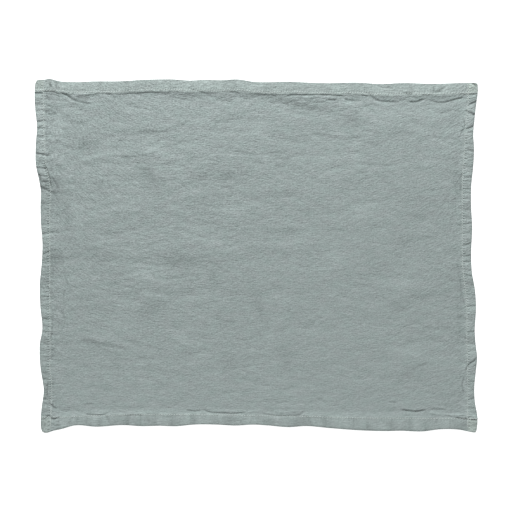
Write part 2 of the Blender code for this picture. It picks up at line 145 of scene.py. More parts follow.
RIGHT_PUCKERS = rows_of(
    Pucker,
    (186.4, 0, 0, 12, 1.3, 0.8), (176, -5, 0, 12, 1.4, 1.0), (164.5, 4, 0, 14, 1.6, 1.0),
    (162, -3, 0, 5, 1.2, 0.8), (147.6, -5, 0, 13, 1.4, 0.9), (142, 0, 0, 13, 1.2, 0.6),
    (129, 0, 2, 12, 1.4, 0.3), (121.6, 3, 0, 9, 1.3, 0.7), (116.4, 0, 4, 12, 1.3, 0.25),
    (102.5, 0, 0, 12, 1.8, 0.4), (90.4, 0, 0, 11, 1.3, 0.6), (85.8, 0, 2, 12, 1.1, 0.3),
    (76.5, 0, 0, 12, 1.3, 0.4), (72.5, 0, 3, 12, 1.1, 0.3), (65.5, 0, 0, 12, 1.2, 0.3),
    (52.8, 0, 0, 12, 1.3, 0.4), (43, 0, 2, 12, 1.3, 0.25), (36.6, -3, 0, 12, 1.3, 0.45),
    (25.7, 0, 0, 12, 1.3, 0.3), (12.9, -3, 0, 12, 1.4, 0.7), (-0.3, 0, 0, 13, 1.9, 0.45),
    (-7.3, 0, 0, 13, 1.9, 0.45), (-16.5, 2, 0, 12, 1.2, 0.3), (-22.9, 2, 0, 12, 1.2, 0.4),
    (-34, 0, 3, 12, 1.3, 0.25), (-45.4, 0, 0, 12, 1.4, 0.3), (-58.1, -1, 0, 12, 1.4, 0.7),
    (-69.1, 0, 0, 12, 1.3, 0.3), (-79, 0, 3, 12, 1.4, 0.25), (-88.2, -2, 0, 11, 1.3, 0.6),
    (-95, 0, 3, 12, 1.2, 0.25), (-101.5, 2, 0, 12, 1.3, 0.4), (-110, 0, 4, 12, 1.3, 0.25),
    (-137.3, 0, 0, 8, 1.3, 0.4), (-145.4, 0, 0, 9, 1.3, 0.4), (-156, 0, 3, 12, 1.4, 0.25),
    (-165.7, -2, 0, 12, 1.3, 0.45), (-176.1, 0, 0, 12, 1.3, 0.4), (-189.4, 0, 0, 13, 1.2, 0.45),
)
FRONT_PUCKERS = rows_of(
    Pucker,
    (-232, 0, 3, 12, 1.6, 0.3), (-214, 3, 2, 11, 1.6, 0.3), (-206, 0, 2, 10, 1.6, 0.3),
    (-196, 0, 3, 11, 1.8, 0.3), (-170, -6, 0, 12, 1.4, 0.6), (-158, 0, 3, 11, 1.8, 0.2),
    (-148, 2, 0, 10, 1.8, 0.3), (-133, 0, 1, 12, 1.5, 0.4), (-124, 0, 2, 11, 1.5, 0.3),
    (-116, 0, 2, 11, 1.5, 0.3), (-102, 0, 2, 11, 1.8, 0.3), (-88, 2, 1, 11, 1.6, 0.3),
    (-75, 0, 1, 12, 1.4, 0.5), (-58, 0, 3, 11, 1.8, 0.2), (-44, -3, 0, 12, 1.8, 0.4),
    (-30, 3, 1, 11, 1.6, 0.3), (-18, -3, 1, 11, 1.6, 0.4), (-4, 0, 3, 11, 1.8, 0.2),
    (10, 2, 1, 10, 1.8, 0.3), (28, 0, 2, 11, 1.8, 0.2), (44, -2, 1, 10, 1.6, 0.3),
    (62, -5, 0, 12, 1.5, 0.5), (80, 0, 2, 11, 1.8, 0.2), (95, 2, 2, 11, 1.6, 0.3),
    (112, 0, 1, 10, 1.8, 0.2), (128, -2, 0, 8, 1.6, 0.4), (140, 0, 2, 11, 1.8, 0.2),
    (156, 2, 2, 11, 1.6, 0.3), (172, 0, 1, 10, 1.8, 0.3), (190, -2, 2, 11, 1.6, 0.2),
    (208, 2, 1, 11, 1.6, 0.3), (224, 0, 2, 11, 1.8, 0.2),
)
BACK_PUCKERS = rows_of(
    Pucker,
    (-237, 3, 0, 10, 1.2, 0.6), (-230, 2, 3, 10, 1.3, 0.5), (-198, 4, 3, 9, 1.4, 0.2),
    (-180, -5, 1, 9, 1.5, 0.4), (-166, 3, 2, 8, 1.4, 0.2), (-150, -3, 1, 9, 1.5, 0.3),
    (-128, 3, 1, 9, 1.5, 0.2), (-104, -4, 2, 9, 1.6, 0.3), (-84, 3, 2, 9, 1.4, 0.2),
    (-66, -3, 1, 9, 1.5, 0.3), (-46, 2, 1, 9, 1.5, 0.2), (-24, -3, 1, 9, 1.5, 0.3),
    (-8, 3, 2, 9, 1.4, 0.3), (12, 0, 1, 9, 1.6, 0.2), (33, -3, 1, 9, 1.4, 0.3), (58, 4, 1, 9, 1.5, 0.3),
    (76, -3, 1, 9, 1.5, 0.3), (98, 3, 1, 9, 1.5, 0.3), (121, -3, 0, 7, 1.4, 0.4), (146, 3, 1, 9, 1.5, 0.2),
    (164, -3, 1, 9, 1.4, 0.3), (184, 0, 2, 9, 1.5, 0.2), (206, -4, 1, 9, 1.3, 0.5),
    (214, -5, 2, 10, 1.3, 0.4), (232, 0, 1, 9, 1.5, 0.2),
)
PUCKERS_FRONT = 1.4         # the front hem's valleys are this much deeper than their rows say

# The sharp creases of the top, each along a curve through the places it passes.
#   route  the places, as x and y
#   width  how far to each side it is felt
#   rise   height of a ridge, or depth of a trough as a negative number
Crease = namedtuple("Crease", "route width rise")

CREASES = rows_of(
    Crease,
    # inside the back hem, from the left
    (((-247, 189), (-240, 190), (-234, 189.2), (-226, 186)), 1.3, -0.8),
    (((-226, 188.4), (-222, 187), (-216, 184), (-210.5, 180.2), (-207, 178.8)), 1.2, -1.2),
    (((-212, 180.8), (-203, 177.6), (-189, 175.2)), 1.1, -0.7),
    (((-211, 183.6), (-203, 186), (-190, 185.6)), 1.9, 0.6),
    (((-190, 183), (-186.5, 185.8), (-183, 187.2), (-174, 186.8), (-165, 186.5)), 1.1, -0.55),
    (((-241, 186.6), (-232, 185.2), (-223, 183)), 1.3, -0.45),
    (((-168, 186.6), (-151, 187), (-135, 187.8), (-124, 188.7)), 1.2, -0.3),
    (((-137, 187.6), (-124, 188.7), (-116, 188.2), (-108, 187.5), (-99, 185.5)), 1.1, -0.4),
    (((-99, 185.5), (-93, 182.5), (-86, 181), (-72, 180.5)), 1.6, -0.25),
    (((-88, 188), (-60, 188), (-30, 188.2)), 2.0, -0.15),
    (((-10, 187.2), (6, 185.8), (20, 185.2), (24, 181.5)), 1.5, -0.3),
    (((34, 183.2), (40, 185.5), (56, 185.6), (76, 185.8), (96, 185), (104, 183.2)), 1.0, -0.65),
    (((40, 182), (58, 183), (78, 183), (96, 181)), 1.8, 0.3),
    (((80, 179.5), (95, 180.5)), 1.3, -0.5),
    (((101, 182), (107, 179.6), (117, 179.4)), 1.5, -1.0),
    (((120, 186), (129, 184)), 1.2, -0.7),
    (((131, 187), (136, 182), (142, 179), (152, 178), (164, 178)), 1.4, -0.8),
    (((164, 179.5), (173, 179.5)), 1.2, -0.5),
    (((170, 186.5), (176, 186.8), (182, 186)), 1.7, -0.8),
    (((175, 178), (184, 177.5), (191, 180), (196, 181)), 1.3, -0.9),
    (((190, 185), (203, 185)), 1.4, -0.6),
    (((199, 180.5), (208, 177.5), (217, 177), (228, 180), (241, 183)), 1.4, -0.8),
    (((232, 186.5), (243, 186), (254, 186)), 1.2, -0.35),
    (((246, 200), (250, 198.6), (255, 194.8)), 1.2, -1.6),
    (((-238.6, 199), (-237.4, 197), (-235.2, 193)), 1.1, -1.3),
    (((-231.2, 197.4), (-230.6, 195), (-229.2, 191)), 1.1, -1.0),
    (((204, 197), (207, 189), (213, 191.5), (220, 196.5)), 1.3, -0.9),
    (((209, 188.5), (222, 191)), 1.2, -0.5),
    (((139, 197.5), (146, 194.5), (152, 194.5), (159, 192.5)), 1.2, -0.7),
    # inside the front hem, from the left
    (((-247, -188), (-242, -187), (-239, -184), (-235, -188), (-229, -187), (-225, -188)), 1.3, -0.9),
    (((-200, -173), (-193, -171.5), (-186, -171)), 1.4, -0.45),
    (((-198, -183), (-183, -184), (-176, -183.5), (-171, -181)), 1.2, -0.65),
    (((-151, -184.5), (-141, -184), (-130, -184)), 1.1, -0.5),
    (((-82, -178), (-70, -179.5), (-62, -178)), 1.3, -0.6),
    (((-62, -177.2), (-53, -180.6), (-40, -181.6), (-28, -182.1), (-12, -181.4)), 1.3, -0.8),
    (((-12, -181), (8, -178.5)), 1.6, 0.4),
    (((6, -182.4), (22, -184.4), (38, -184.4), (50, -183.8), (56, -178.5)), 1.2, -0.65),
    (((20, -180), (36, -180.5), (52, -179)), 1.8, 0.5),
    (((153, -168.5), (163, -170)), 1.4, -0.6),
    (((167, -178), (177, -179.2), (185, -179.8), (191, -179), (197, -177.5)), 1.2, -0.9),
    (((198, -181), (217, -184), (232, -184), (245, -183)), 1.4, 0.6),
    (((200, -177), (221, -178)), 1.3, -0.5),
    (((212, -182), (228, -187)), 1.2, -0.3),
    (((229, -187), (238, -188), (244, -188), (247, -185)), 1.2, -0.9),
    (((247, -189.5), (256, -189)), 1.1, -0.6),
    # beside the left stitches
    (((-244, 106), (-241, 98), (-238, 88), (-236, 78)), 1.3, -1.5),
    (((-236, 92), (-232, 85), (-227, 77)), 1.4, -1.0),
    (((-250.5, 97), (-249, 90), (-248.5, 84)), 1.2, -0.9),
    (((-242, 150), (-242, 140), (-241.5, 128)), 0.9, -0.6),
    (((-246, 158), (-240, 154)), 1.3, -0.5),
    (((-240, 152), (-235, 155), (-231, 158)), 1.3, -0.5),
    (((-243, 170), (-240, 164), (-228, 165)), 1.4, -0.7),
    (((-240, -144), (-241, -154), (-240, -165)), 1.1, -0.8),
    (((-240, -168), (-236, -172), (-232, -176), (-229, -175)), 1.2, -0.8),
    (((-253, -128), (-246, -133), (-240, -140)), 1.3, -0.3),
    (((-219.4, -18), (-220.2, -26), (-217.2, -35.5), (-221, -42), (-222.2, -48), (-220.6, -57)), 1.0, -0.4),
    (((-220.6, -58), (-223, -66), (-220.8, -73), (-222.4, -82), (-226.5, -89)), 1.0, -0.4),
    (((-217.6, -18), (-218.2, -26), (-215.4, -35.5), (-219, -42), (-220.2, -48), (-218.8, -57)), 1.1, 0.4),
    (((-218.8, -58), (-221, -66), (-219, -73), (-220.5, -80)), 1.1, 0.4),
    (((-219, -38), (-211, -36), (-203, -39)), 1.1, -0.35),
    (((-214, -76), (-205, -80), (-196, -77)), 1.2, -0.35),
    (((-219, -57), (-213, -62), (-209, -61)), 1.1, -0.3),
    (((-241, -34), (-238.5, -39), (-236.5, -46), (-235.5, -52)), 1.0, -0.6),
    (((-234.5, -68), (-235, -76), (-235.5, -86), (-237.5, -97)), 1.0, -0.6),
    # beside the right stitches
    (((254.5, -117), (250.5, -122), (246, -125), (243, -130), (241.5, -135)), 1.2, -0.9),
    (((240.5, -139), (238.4, -148), (239, -154), (240, -161)), 1.1, -0.6),
    (((233, 142), (237, 144), (242, 148)), 1.3, -0.6),
    (((240, 147), (241, 152), (240, 158)), 1.1, -0.9),
    (((240, 147), (237.5, 143), (235, 138)), 1.0, -0.7),
    (((238.5, 94), (235, 89), (232, 84)), 1.2, -0.5),
    (((236, 132), (232, 140)), 1.2, -0.4),
    (((234, 116), (238.5, 110), (239.5, 100)), 1.2, -0.4),
    (((237.5, 98), (236, 84), (235.5, 72)), 1.3, -0.45),
    (((232.5, -8), (235.5, -22), (236.5, -36), (238, -47), (242, -59)), 1.3, -0.45),
    (((228, 76), (220, 66), (214, 56)), 1.8, -0.3),
    # across the body
    (((-153, 138), (-138, 141), (-123, 142.5), (-98, 144)), 1.5, -0.35),
    (((-204, 107), (-186, 113), (-163, 116), (-140, 118), (-120, 118)), 3.2, 0.55),
    (((-232, 106), (-214, 92), (-204, 82)), 1.8, -0.5),
    (((-228, 98), (-216, 86), (-206, 76)), 1.8, -0.4),
    (((-226, 148), (-206, 136), (-196, 126)), 1.8, -0.45),
    (((-168, 129), (-154, 118), (-146, 108)), 1.8, -0.4),
    (((-204, -97), (-180, -101), (-167, -104), (-146, -108)), 1.8, -0.4),
    (((-168, -86), (-148, -98), (-132, -106)), 1.6, -0.3),
    (((-48, -72), (-34, -76), (-20, -76)), 1.6, -0.35),
    (((178, -134), (188, -128), (199, -123)), 1.8, -0.4),
    (((183, 64), (190, 58), (197, 54)), 1.6, 0.35),
    (((60, -118), (78, -128), (92, -136)), 1.8, 0.25),
    (((118, 108), (140, 104), (164, 106)), 1.6, -0.35),
    (((-30, 122), (0, 118), (34, 120)), 1.8, -0.35),
    (((70, 140), (100, 136), (128, 138)), 1.8, -0.35),
)

# The soft swells and hollows of the top.
#   x y      the middle
#   long     half its length
#   wide     half its width
#   turn     which way its length runs, in degrees from X
#   rise     height, or depth as a negative number
Swell = namedtuple("Swell", "x y long wide turn rise")

SWELLS = rows_of(
    Swell,
    (0, 12, 240, 9, 0, 0.25), (-200, -4, 60, 9, 0, -0.20), (-85, -6, 22, 10, 0, -0.25),
    (-197, 130, 16, 9, 0, -0.25), (-160, 107, 40, 7, 8, -0.25), (-231, 76, 9, 18, 0, -0.30),
    (-233, 163, 9, 7, 0, -0.50), (55, 172, 34, 6, -6, -0.50), (106, 173, 12, 7, -20, 0.80),
    (20, 178, 24, 5, -8, -0.35), (68, 180.5, 32, 5, 0, 0.45), (185, 184, 50, 4, 0, 0.35),
    (-70, 180, 24, 7, -6, -0.35), (-168, 180, 22, 5, 0, 0.30), (210, 166, 30, 6, 0, 0.30),
    (200, 150, 16, 8, 20, 0.30), (-218, -180, 10, 3.5, 0, -0.35), (36, -176, 20, 4, 0, 0.40),
    (190, -128, 14, 8, 28, -0.25), (233, 74, 5, 14, 0, -0.30), (233, -24, 5, 28, 0, -0.30),
)

# Lighter and darker patches: uneven colour and painted light and shade. Place and size are as for a swell.
#   tone     how much lighter it is, as a share, or darker as a negative number
ToneAndLightPatch = namedtuple("ToneAndLightPatch", "x y long wide turn tone")

TONE_AND_LIGHT_PATCHES = rows_of(
    ToneAndLightPatch,
    (-240, 86, 22, 11, -58, -0.19), (-217, 42, 24, 5, -78, -0.14), (-196, 127, 17, 7, 0, -0.17),
    (-231, -3, 8, 11, 0, -0.17), (-182, -1, 28, 7, -4, -0.12), (-85, -7, 22, 7, 6, -0.14),
    (-48, -25, 6, 8, 0, -0.14), (-124, 95, 16, 8, -58, -0.17), (-185, 83, 10, 8, 0, -0.07),
    (-112, 60, 8, 8, 0, -0.07), (-66, 92, 10, 5, 0, -0.12), (-34, 94, 22, 7, -6, -0.15),
    (26, 70, 26, 4, 0, -0.11), (-38, 34, 26, 4, -18, -0.07), (25, 28, 24, 4, 0, -0.11),
    (190, 47, 14, 5, 0, -0.11), (185, 92, 12, 6, -10, -0.07), (196, 65, 34, 6, 0, -0.06),
    (172, 17, 12, 5, 0, -0.11), (111, 153, 11, 7, 0, -0.16), (58, 153, 26, 4, 0, -0.10),
    (170, 143, 14, 5, 0, -0.10), (-118, 144, 30, 3.5, 6, -0.13), (-122, -61, 13, 8, 10, -0.15),
    (-184, -102, 22, 4, -8, -0.18), (-160, -120, 8, 10, 0, -0.09), (-30, -125, 12, 8, -30, -0.07),
    (35, -120, 7, 10, 0, -0.11), (174, -135, 24, 5, 10, -0.13), (165, -58, 12, 6, 0, -0.11),
    (190, -47, 14, 4, 0, -0.11), (235, -65, 4, 34, 0, -0.10), (-140, -40, 8, 5, 0, -0.08),
    (-85, -115, 15, 5, -12, -0.06), (-150, 141, 18, 3, 8, -0.08), (233, 85, 5, 20, 0, -0.11),
    (-237, 170, 7, 5, 0, -0.17), (4, -60, 5, 20, 22, -0.10), (30, 105, 14, 6, 20, -0.06),
    (-118, 125, 10, 8, 0, 0.14), (-165, 114, 40, 3, 4, 0.07), (-25, 52, 12, 6, 10, 0.17),
    (120, 53, 12, 6, 0, 0.12), (-62, 124, 13, 6, 0, 0.07), (115, 120, 8, 13, 0, 0.07),
    (-125, -20, 16, 9, 0, 0.12), (-60, 13, 80, 5, 0, 0.06), (42, 15, 20, 6, 0, 0.10),
    (92, 0, 12, 8, 0, 0.09), (15, -92, 6, 6, 0, 0.14), (-85, -94, 10, 7, 0, 0.12),
    (-62, -45, 8, 5, 0, 0.10), (178, -112, 20, 5, -6, 0.17), (175, -33, 24, 6, 0, 0.12),
    (30, -50, 12, 5, 0, 0.09), (-165, -92, 14, 8, 0, 0.06), (28, 80, 12, 3, 0, 0.09),
    (0, 144, 9, 6, 0, 0.12), (-60, 154, 12, 5, 0, 0.09), (-228, 146, 9, 12, 0, 0.09),
    (-220, 100, 6, 24, 24, 0.06), (-238, 21, 8, 12, 0, 0.10), (200, 166, 30, 6, 0, 0.07),
    (150, 161, 20, 8, 0, 0.11), (-210, 62, 6, 18, 20, 0.04), (60, 112, 20, 5, 0, 0.04),
    (-252, 82, 7, 22, -8, -0.15), (-232, -70, 10, 110, 0, -0.025), (-145, 197, 62, 5, 0, -0.055),
    (-66, 184.4, 40, 4, 0, -0.14), (6, 184, 24, 4, -5, -0.14), (59, 172.6, 34, 4.5, -13, -0.26),
    (60, 182.6, 26, 1.6, -3, 0.10), (103, 174, 16, 5, -8, 0.07), (-199, 181, 11, 2.5, -8, -0.08),
    (-180, -62, 18, 10, 0, -0.05), (-27, 160, 10, 5, 0, -0.08), (248, 165, 6, 3.5, 0, -0.10),
    (246, 148, 6, 4, 0, -0.10), (247, 122, 5, 5, 0, -0.08), (246, 103, 5, 4, 0, -0.10),
    (246, -4, 6, 5, 0, -0.11), (-248, 1, 6, 5, 0, -0.09), (-247, 62, 5, 4, 0, -0.08),
    (-145, -189, 55, 5, 0, -0.04), (247, 140, 7, 45, 0, 0.035), (247, -140, 7, 45, 0, 0.035),
)

# The crinkle of washed linen, drawn from smooth noise.
#   long    length of a wrinkle, along the streaks
#   wide    distance from one wrinkle to the next
#   height  half the height from trough to crest
#   turn    how far it is turned from the streaks, in degrees
Crinkle = namedtuple("Crinkle", "long wide height turn")

CRINKLES = rows_of(
    Crinkle,
    (75, 36, 0.15, 0), (32, 17, 0.13, 6), (15, 9, 0.11, -12), (8, 5.4, 0.06, 8), (5.0, 3.7, 0.03, -10),
)
CRINKLE_FRONT = 0.74        # strength of the crinkle at the front hem and at the back hem
CRINKLE_BACK = 1.30
CRINKLE_LEFT = 1.05         # and these times as much in the left half and in the right half
CRINKLE_RIGHT = 0.88
CRINKLE_ACROSS = 240.0      # from the one to the other over this length
CRINKLE_SIDES = 0.3         # this much more beside the side hems
CRINKLE_SIDES_REACH = 12.0
CRINKLE_IN_HEM = 0.55       # the hems' three layers crinkle this much as strongly as the single cloth

# The thin folds that washing leaves: sharp troughs along wandering lines, here and there.
#   long    size of the pattern along the streaks
#   wide    and across them
#   depth   depth of a trough
#   turn    how far it is turned from the streaks, in degrees
#   share   how much of the mat they are kept off, from 0 to 1
Fold = namedtuple("Fold", "long wide depth turn share")

FOLDS = rows_of(
    Fold,
    (34, 13, 0.42, -16, 0.40), (22, 9, 0.34, 12, 0.44), (14, 6, 0.24, -4, 0.36),
)
FOLD_SHARP = 0.10           # how close to the line a trough is, in parts of the noise's range
FOLD_PATCH = 42.0           # size of the patches that have folds
FOLD_PATCH_EDGE = 0.2       # and how softly they begin, in parts of the noise's range

# Streaks run down to the right beside the left hem, level in the middle and a little up beside the right hem.
STREAK_SLOPE = 0.02
STREAK_CURVE = 0.0003
STREAK_WANDERS = ((8.0, 90.0), (2.5, 24.0))     # how far they wander, and over what length

# The finest streaks are level in the middle and slant down from the stitches beside the side hems.
PULL_START = 110.0          # how far from the middle they begin to slant
PULL_LENGTH = 140.0         # over this length they come to their full slant
PULL_LEFT = 0.9             # the slant at the left hem, at half the depth
PULL_LEFT_MORE = 0.006      # and how much steeper it is for each millimetre further back
PULL_RIGHT = 0.6            # the slant at the right hem

# Where in the noise each thing is drawn from, so that no two are alike
WANDER_ALONG_LAYER = 21.5
WANDER_ACROSS_LAYER = 7.3
FOLD_LAYER = 40.5
FOLD_PATCH_LAYER = 60.5
HEM_BLOCK_LAYER = 80.5

# ---------------------------------------------------------------------------------------------------------
# The cloth's section, in millimetres
# ---------------------------------------------------------------------------------------------------------

THINNEST = 0.30             # the cloth at the bottom of a crease
THICKEST = 3.0              # where two hems cross in a corner
EDGE_ROUND = 1.0            # how far in the folded edge is rounded
LIFT_REACH = 12.0           # how far in an edge stands off the surface
PULL_REACH = 60.0           # how far in the unevenness of an edge is felt

HEM_CROWN = 0.15            # the hem is a little fuller between its edge and its stitches
STEP_START = 1.1            # the top steps down from a side or front hem this far past the stitches
STEP_START_BACK = 1.9       # and from the back hem
STEP_WIDTH = 1.8            # over this width
STEP_BACK = 0.22            # by this share of the hem's rise at the back hem
STEP_SIDES = 0.30           # at the side hems
STEP_FRONT = 0.15           # and at the front hem
SHOULDER = 8.0              # and is down at the single cloth this far past the stitches
GROOVE_SIDES = 0.08         # the stitches draw the cloth in
GROOVE_ENDS = 0.02          # but hardly at the back and front hems
GROOVE_WIDTH = 1.0

FLAP_PAST_SEAM = 1.6        # the turned flap ends this far past the stitches
FLAP_STEP = 0.5             # and its end is this wide
UNDER_EASE = 5.0            # from the flap's end to where the cloth comes down to the surface again
UNDER_REST = 0.12           # mean height of the underside over the surface inside the flap
UNDER_WAVE = 0.08           # and half the height of its waves, whose size and winding follow
UNDER_WAVE_X = 13.0
UNDER_WAVE_Y = 17.0
UNDER_WIND = 1.3
UNDER_WIND_Y = 31.0
UNDER_GROOVE = 0.38         # the stitches lie in a groove underneath, clear of the surface

BLUNT = 0.20                # a crease's bottom is this round
STEEP_SIDE = 0.60           # a crease is steep on its far side and gentle on its near side
GENTLE_SIDE = 1.5
LIPS = 0.45                 # the cloth stands up on both sides of a crease
LIPS_WIDTH = 3.2            # this many times as wide as the crease
PROFILE_GAIN = 1.5          # which makes up for what the lips take from its depth
CREASE_REACH = 6.0          # a crease is felt this many times its width away
CREASE_FADE = 5.0           # it dies away over this length at each end
CREASE_TIP = 0.15           # and begins with this part of that behind it

PUCKER_START = 2.0          # a valley that starts inside the edge deepens over this length
PUCKER_END = 4.0            # and every valley ends over this one
PUCKER_END_BEFORE = 3.0     # which begins this far before its reach
PUFF_BETWEEN = 0.3          # a side hem stands up between valleys that are at least this deep
PUFF_SLOPE = 0.085          # this steeply beside the valleys
PUFF_LONGEST = 14.0
PUFF_OUTSIDE = 1.0          # the puff starts this far outside the edge
PUFF_OVER = 4.0             # and is this much wider than the hem

# ---------------------------------------------------------------------------------------------------------
# How light the cloth is from place to place, as a share of its plain colour, with painted light and shade
# ---------------------------------------------------------------------------------------------------------

# At the side hems: a painted highlight at the stitches and a painted shadow of the hem's step past them.
# Painted light and shade in lines beside the stitches, and darker and lighter bands past the front and back
# ones.
#   hem    which hem
#   past   how far past the stitches its middle lies, in millimetres
#   width  how far to each side it is felt
#   tone   how much lighter it is, or darker as a negative number
SeamLightAndShade = namedtuple("SeamLightAndShade", "hem past width tone")

SEAM_LIGHT_AND_SHADE = rows_of(
    SeamLightAndShade,
    ("left", 0.3, 1.3, 0.08), ("right", -0.6, 1.3, 0.06),
    ("left", 1.8, 1.0, -0.02), ("right", 1.8, 1.0, -0.05),
    ("front", 3.5, 6.0, -0.05), ("back", 7.0, 3.0, 0.03),
)

TONE_BACK_HEM = 0.16        # the hems are lighter by these shares
TONE_FRONT_HEM = 0.05
TONE_RIGHT_HEM = 0.05
TONE_LEFT_HEM = 0.09        # the left hem only in its back part
TONE_LEFT_FROM = -40.0      # which begins here
TONE_LEFT_OVER = 200.0      # and is at its lightest this much further back
# Painted light: the mat is made lighter towards its front and back, which shapes how the key light's
# brightness falls
PAINTED_LIGHT_ENDS = 0.05            # the mat is lighter towards its front and back, by this at 150 mm from the middle
PAINTED_LIGHT_ENDS_AT = 150.0
HEM_BLEND = 1.5             # width over which the hems' tone ends

HEM_BLOCK_LONG = 6.0        # size of the lighter and darker blocks along the hems, and across them
HEM_BLOCK_WIDE = 20.0
HEM_BLOCK_FRONT = 0.20      # how strong they are in the front half and in the back half
HEM_BLOCK_BACK = 0.12

CROSSING_PAST = 2.5         # where two hems cross, the colour is fuller up to this far past the stitches
CROSSING_BLEND = 4.5        # and comes to its full strength over this width
CROSSING_TONE_RIGHT = 0.135
CROSSING_TONE_LEFT = 0.085
LAYERED_RIGHT = 0.8         # share of the layered colour in the right and in the left corners
LAYERED_LEFT = 0.5
LAYERED_BACK_HEM = 0.25     # in the back hem
LAYERED_HEMS = 0.1          # and in the others

SHADE_CREASE = 1.2          # a crease of 1 mm is shaded by this part of the deepest shade
SHADE_PUCKER = 0.8          # and a valley of 1 mm by this
SHADE_DEEPEST = 0.45        # which takes away this share of the light
SHADE_RIM = 0.2             # the folded edge turns away from the light
SHADE_RIM_WIDTH = 1.3
SHADE_RIM_BACK = 1.8        # most of all at the back, and less at the sides and in front
SHADE_RIM_SIDES = 0.9
SHADE_RIM_FRONT = 0.2

GATHERS_BEFORE = 1.2        # the gathers lie this far before the stitches, on the hem
GATHERS_WIDTH = 1.8         # and are felt this far to each side
GATHERS_FRONT = 0.4         # the front hem has this share of them

# ---------------------------------------------------------------------------------------------------------
# Lines of the mesh, in millimetres in from each edge and then in even steps
# ---------------------------------------------------------------------------------------------------------

TOP_EDGE_LINES = (0.0, 0.12, 0.4, 1.0, 2.1, 3.2, 4.3, 5.4, 6.5, 7.6, 8.7, 9.6, 10.4, 11.0, 11.6, 12.4, 13.4,
                  14.6, 15.8, 17.0, 18.4, 20.0)
TOP_SIDE_LINES = (21.8, 23.6, 25.4, 27.2, 29.0, 31.0, 33.0, 35.0)     # and these at the side edges alone
TOP_STEP_X = 3.2
TOP_STEP_Y = 1.6
FINE_REACH = 36.0           # the steps are halved up to here from the edges, for the creases beside the hems
FINE_HEM = 15.0             # and those along a side hem up to here, for its valleys
UNDER_EDGE_LINES = (0.3, 1.0, 3.0, 6.0, 9.0, 10.2, 11.0, 11.8, 12.9, 13.5, 14.5, 15.5, 17.0, 20.0)
UNDER_STEP_X = 8.0
UNDER_STEP_Y = 5.0


# ---------------------------------------------------------------------------------------------------------
# The cloth's shape
# ---------------------------------------------------------------------------------------------------------

def ease(value):
    """0 below 0, 1 above 1, and a smooth rise between."""
    value = np.clip(value, 0.0, 1.0)
    return value * value * (3.0 - 2.0 * value)


def falloff(distance, width):
    """1 where the distance is nothing, falling away softly over the width."""
    return np.exp(-(distance / width) ** 2)


def turned(along, across, degrees):
    """The same place, measured along a direction that is turned by this much and across it."""
    turn = np.radians(degrees)
    return along * np.cos(turn) + across * np.sin(turn), across * np.cos(turn) - along * np.sin(turn)


def read_rows(rows, column, along):
    """One column of an edge's rows, at places along it, on a smooth curve through the rows."""
    places = np.array([row.along for row in rows], dtype=float)
    values = np.array([getattr(row, column) for row in rows], dtype=float)
    slopes = np.gradient(values, places)
    first = np.clip(np.searchsorted(places, along) - 1, 0, len(rows) - 2)
    span = places[first + 1] - places[first]
    part = np.clip((along - places[first]) / span, 0.0, 1.0)
    rest = 1.0 - part
    start = values[first] * rest * rest * (1.0 + 2.0 * part) + slopes[first] * span * part * rest * rest
    end = values[first + 1] * part * part * (3.0 - 2.0 * part)
    return start + end - slopes[first + 1] * span * part * part * rest


def crease_profile(distance, width):
    """A crease's depth, largest at its blunt bottom, and negative where the cloth stands up beside it."""
    groove = np.exp(-(np.sqrt(distance ** 2 + BLUNT ** 2) - BLUNT) / width)
    return (groove - LIPS * falloff(distance, LIPS_WIDTH * width)) * PROFILE_GAIN


def smooth_route(places, steps=6):
    """Points on a smooth curve through the places, with a few steps from each place to the next."""
    places = np.array(places, dtype=float)
    before = 2 * places[0] - places[1]
    after = 2 * places[-1] - places[-2]
    ends = np.vstack((before, places, after))
    curve = []
    for a, b, c, d in zip(ends, ends[1:], ends[2:], ends[3:]):
        for t in np.arange(steps) / steps:
            curve.append(0.5 * (2 * b + (c - a) * t + (2 * a - 5 * b + 4 * c - d) * t ** 2
                                + (3 * b - a - 3 * c + d) * t ** 3))
    return np.array(curve + [places[-1]])


def crease_relief(crease, x, y):
    """One crease's height at every point."""
    curve = smooth_route(crease.route)
    reach = CREASE_REACH * crease.width
    low, high = curve.min(axis=0) - reach, curve.max(axis=0) + reach
    close = np.flatnonzero((x > low[0]) & (x < high[0]) & (y > low[1]) & (y < high[1]))
    px, py = x[close], y[close]
    nearest = np.full(len(close), np.inf)
    along = np.zeros(len(close))
    below = np.zeros(len(close), dtype=bool)
    gone = 0.0
    for start, end in zip(curve, curve[1:]):
        run = end - start
        length = np.hypot(*run)
        part = np.clip(((px - start[0]) * run[0] + (py - start[1]) * run[1]) / length ** 2, 0.0, 1.0)
        off_x, off_y = px - start[0] - part * run[0], py - start[1] - part * run[1]
        distance = np.hypot(off_x, off_y)
        nearer = distance < nearest
        nearest = np.where(nearer, distance, nearest)
        along = np.where(nearer, gone + part * length, along)
        below = np.where(nearer, off_y < 0, below)
        gone += length
    fade_length = min(CREASE_FADE, gone / 3)
    fade = ease(along / fade_length + CREASE_TIP) * ease((gone - along) / fade_length + CREASE_TIP)
    if crease.rise > 0:
        shape = falloff(nearest, crease.width)
    else:
        shape = crease_profile(nearest, crease.width * np.where(below, GENTLE_SIDE, STEEP_SIDE))
    height = np.zeros_like(x)
    height[close] = crease.rise * fade * shape
    return height


def soft_patch(patch, x, y):
    """1 in the middle of a patch, falling away softly."""
    along, across = turned(x - patch.x, y - patch.y, patch.turn)
    return np.exp(-(along / patch.long) ** 2 - (across / patch.wide) ** 2)


def smooth_noise(x, y, layer):
    """Smooth noise at every point, a different one for each layer."""
    return np.array([noise.noise((px, py, layer)) for px, py in zip(x, y)])


def streaky_noise(row, along, across, layer):
    """Smooth noise drawn out to a row's length and width, and turned as it says."""
    along, across = turned(along, across, row.turn)
    return smooth_noise(along / row.long, across / row.wide, layer)


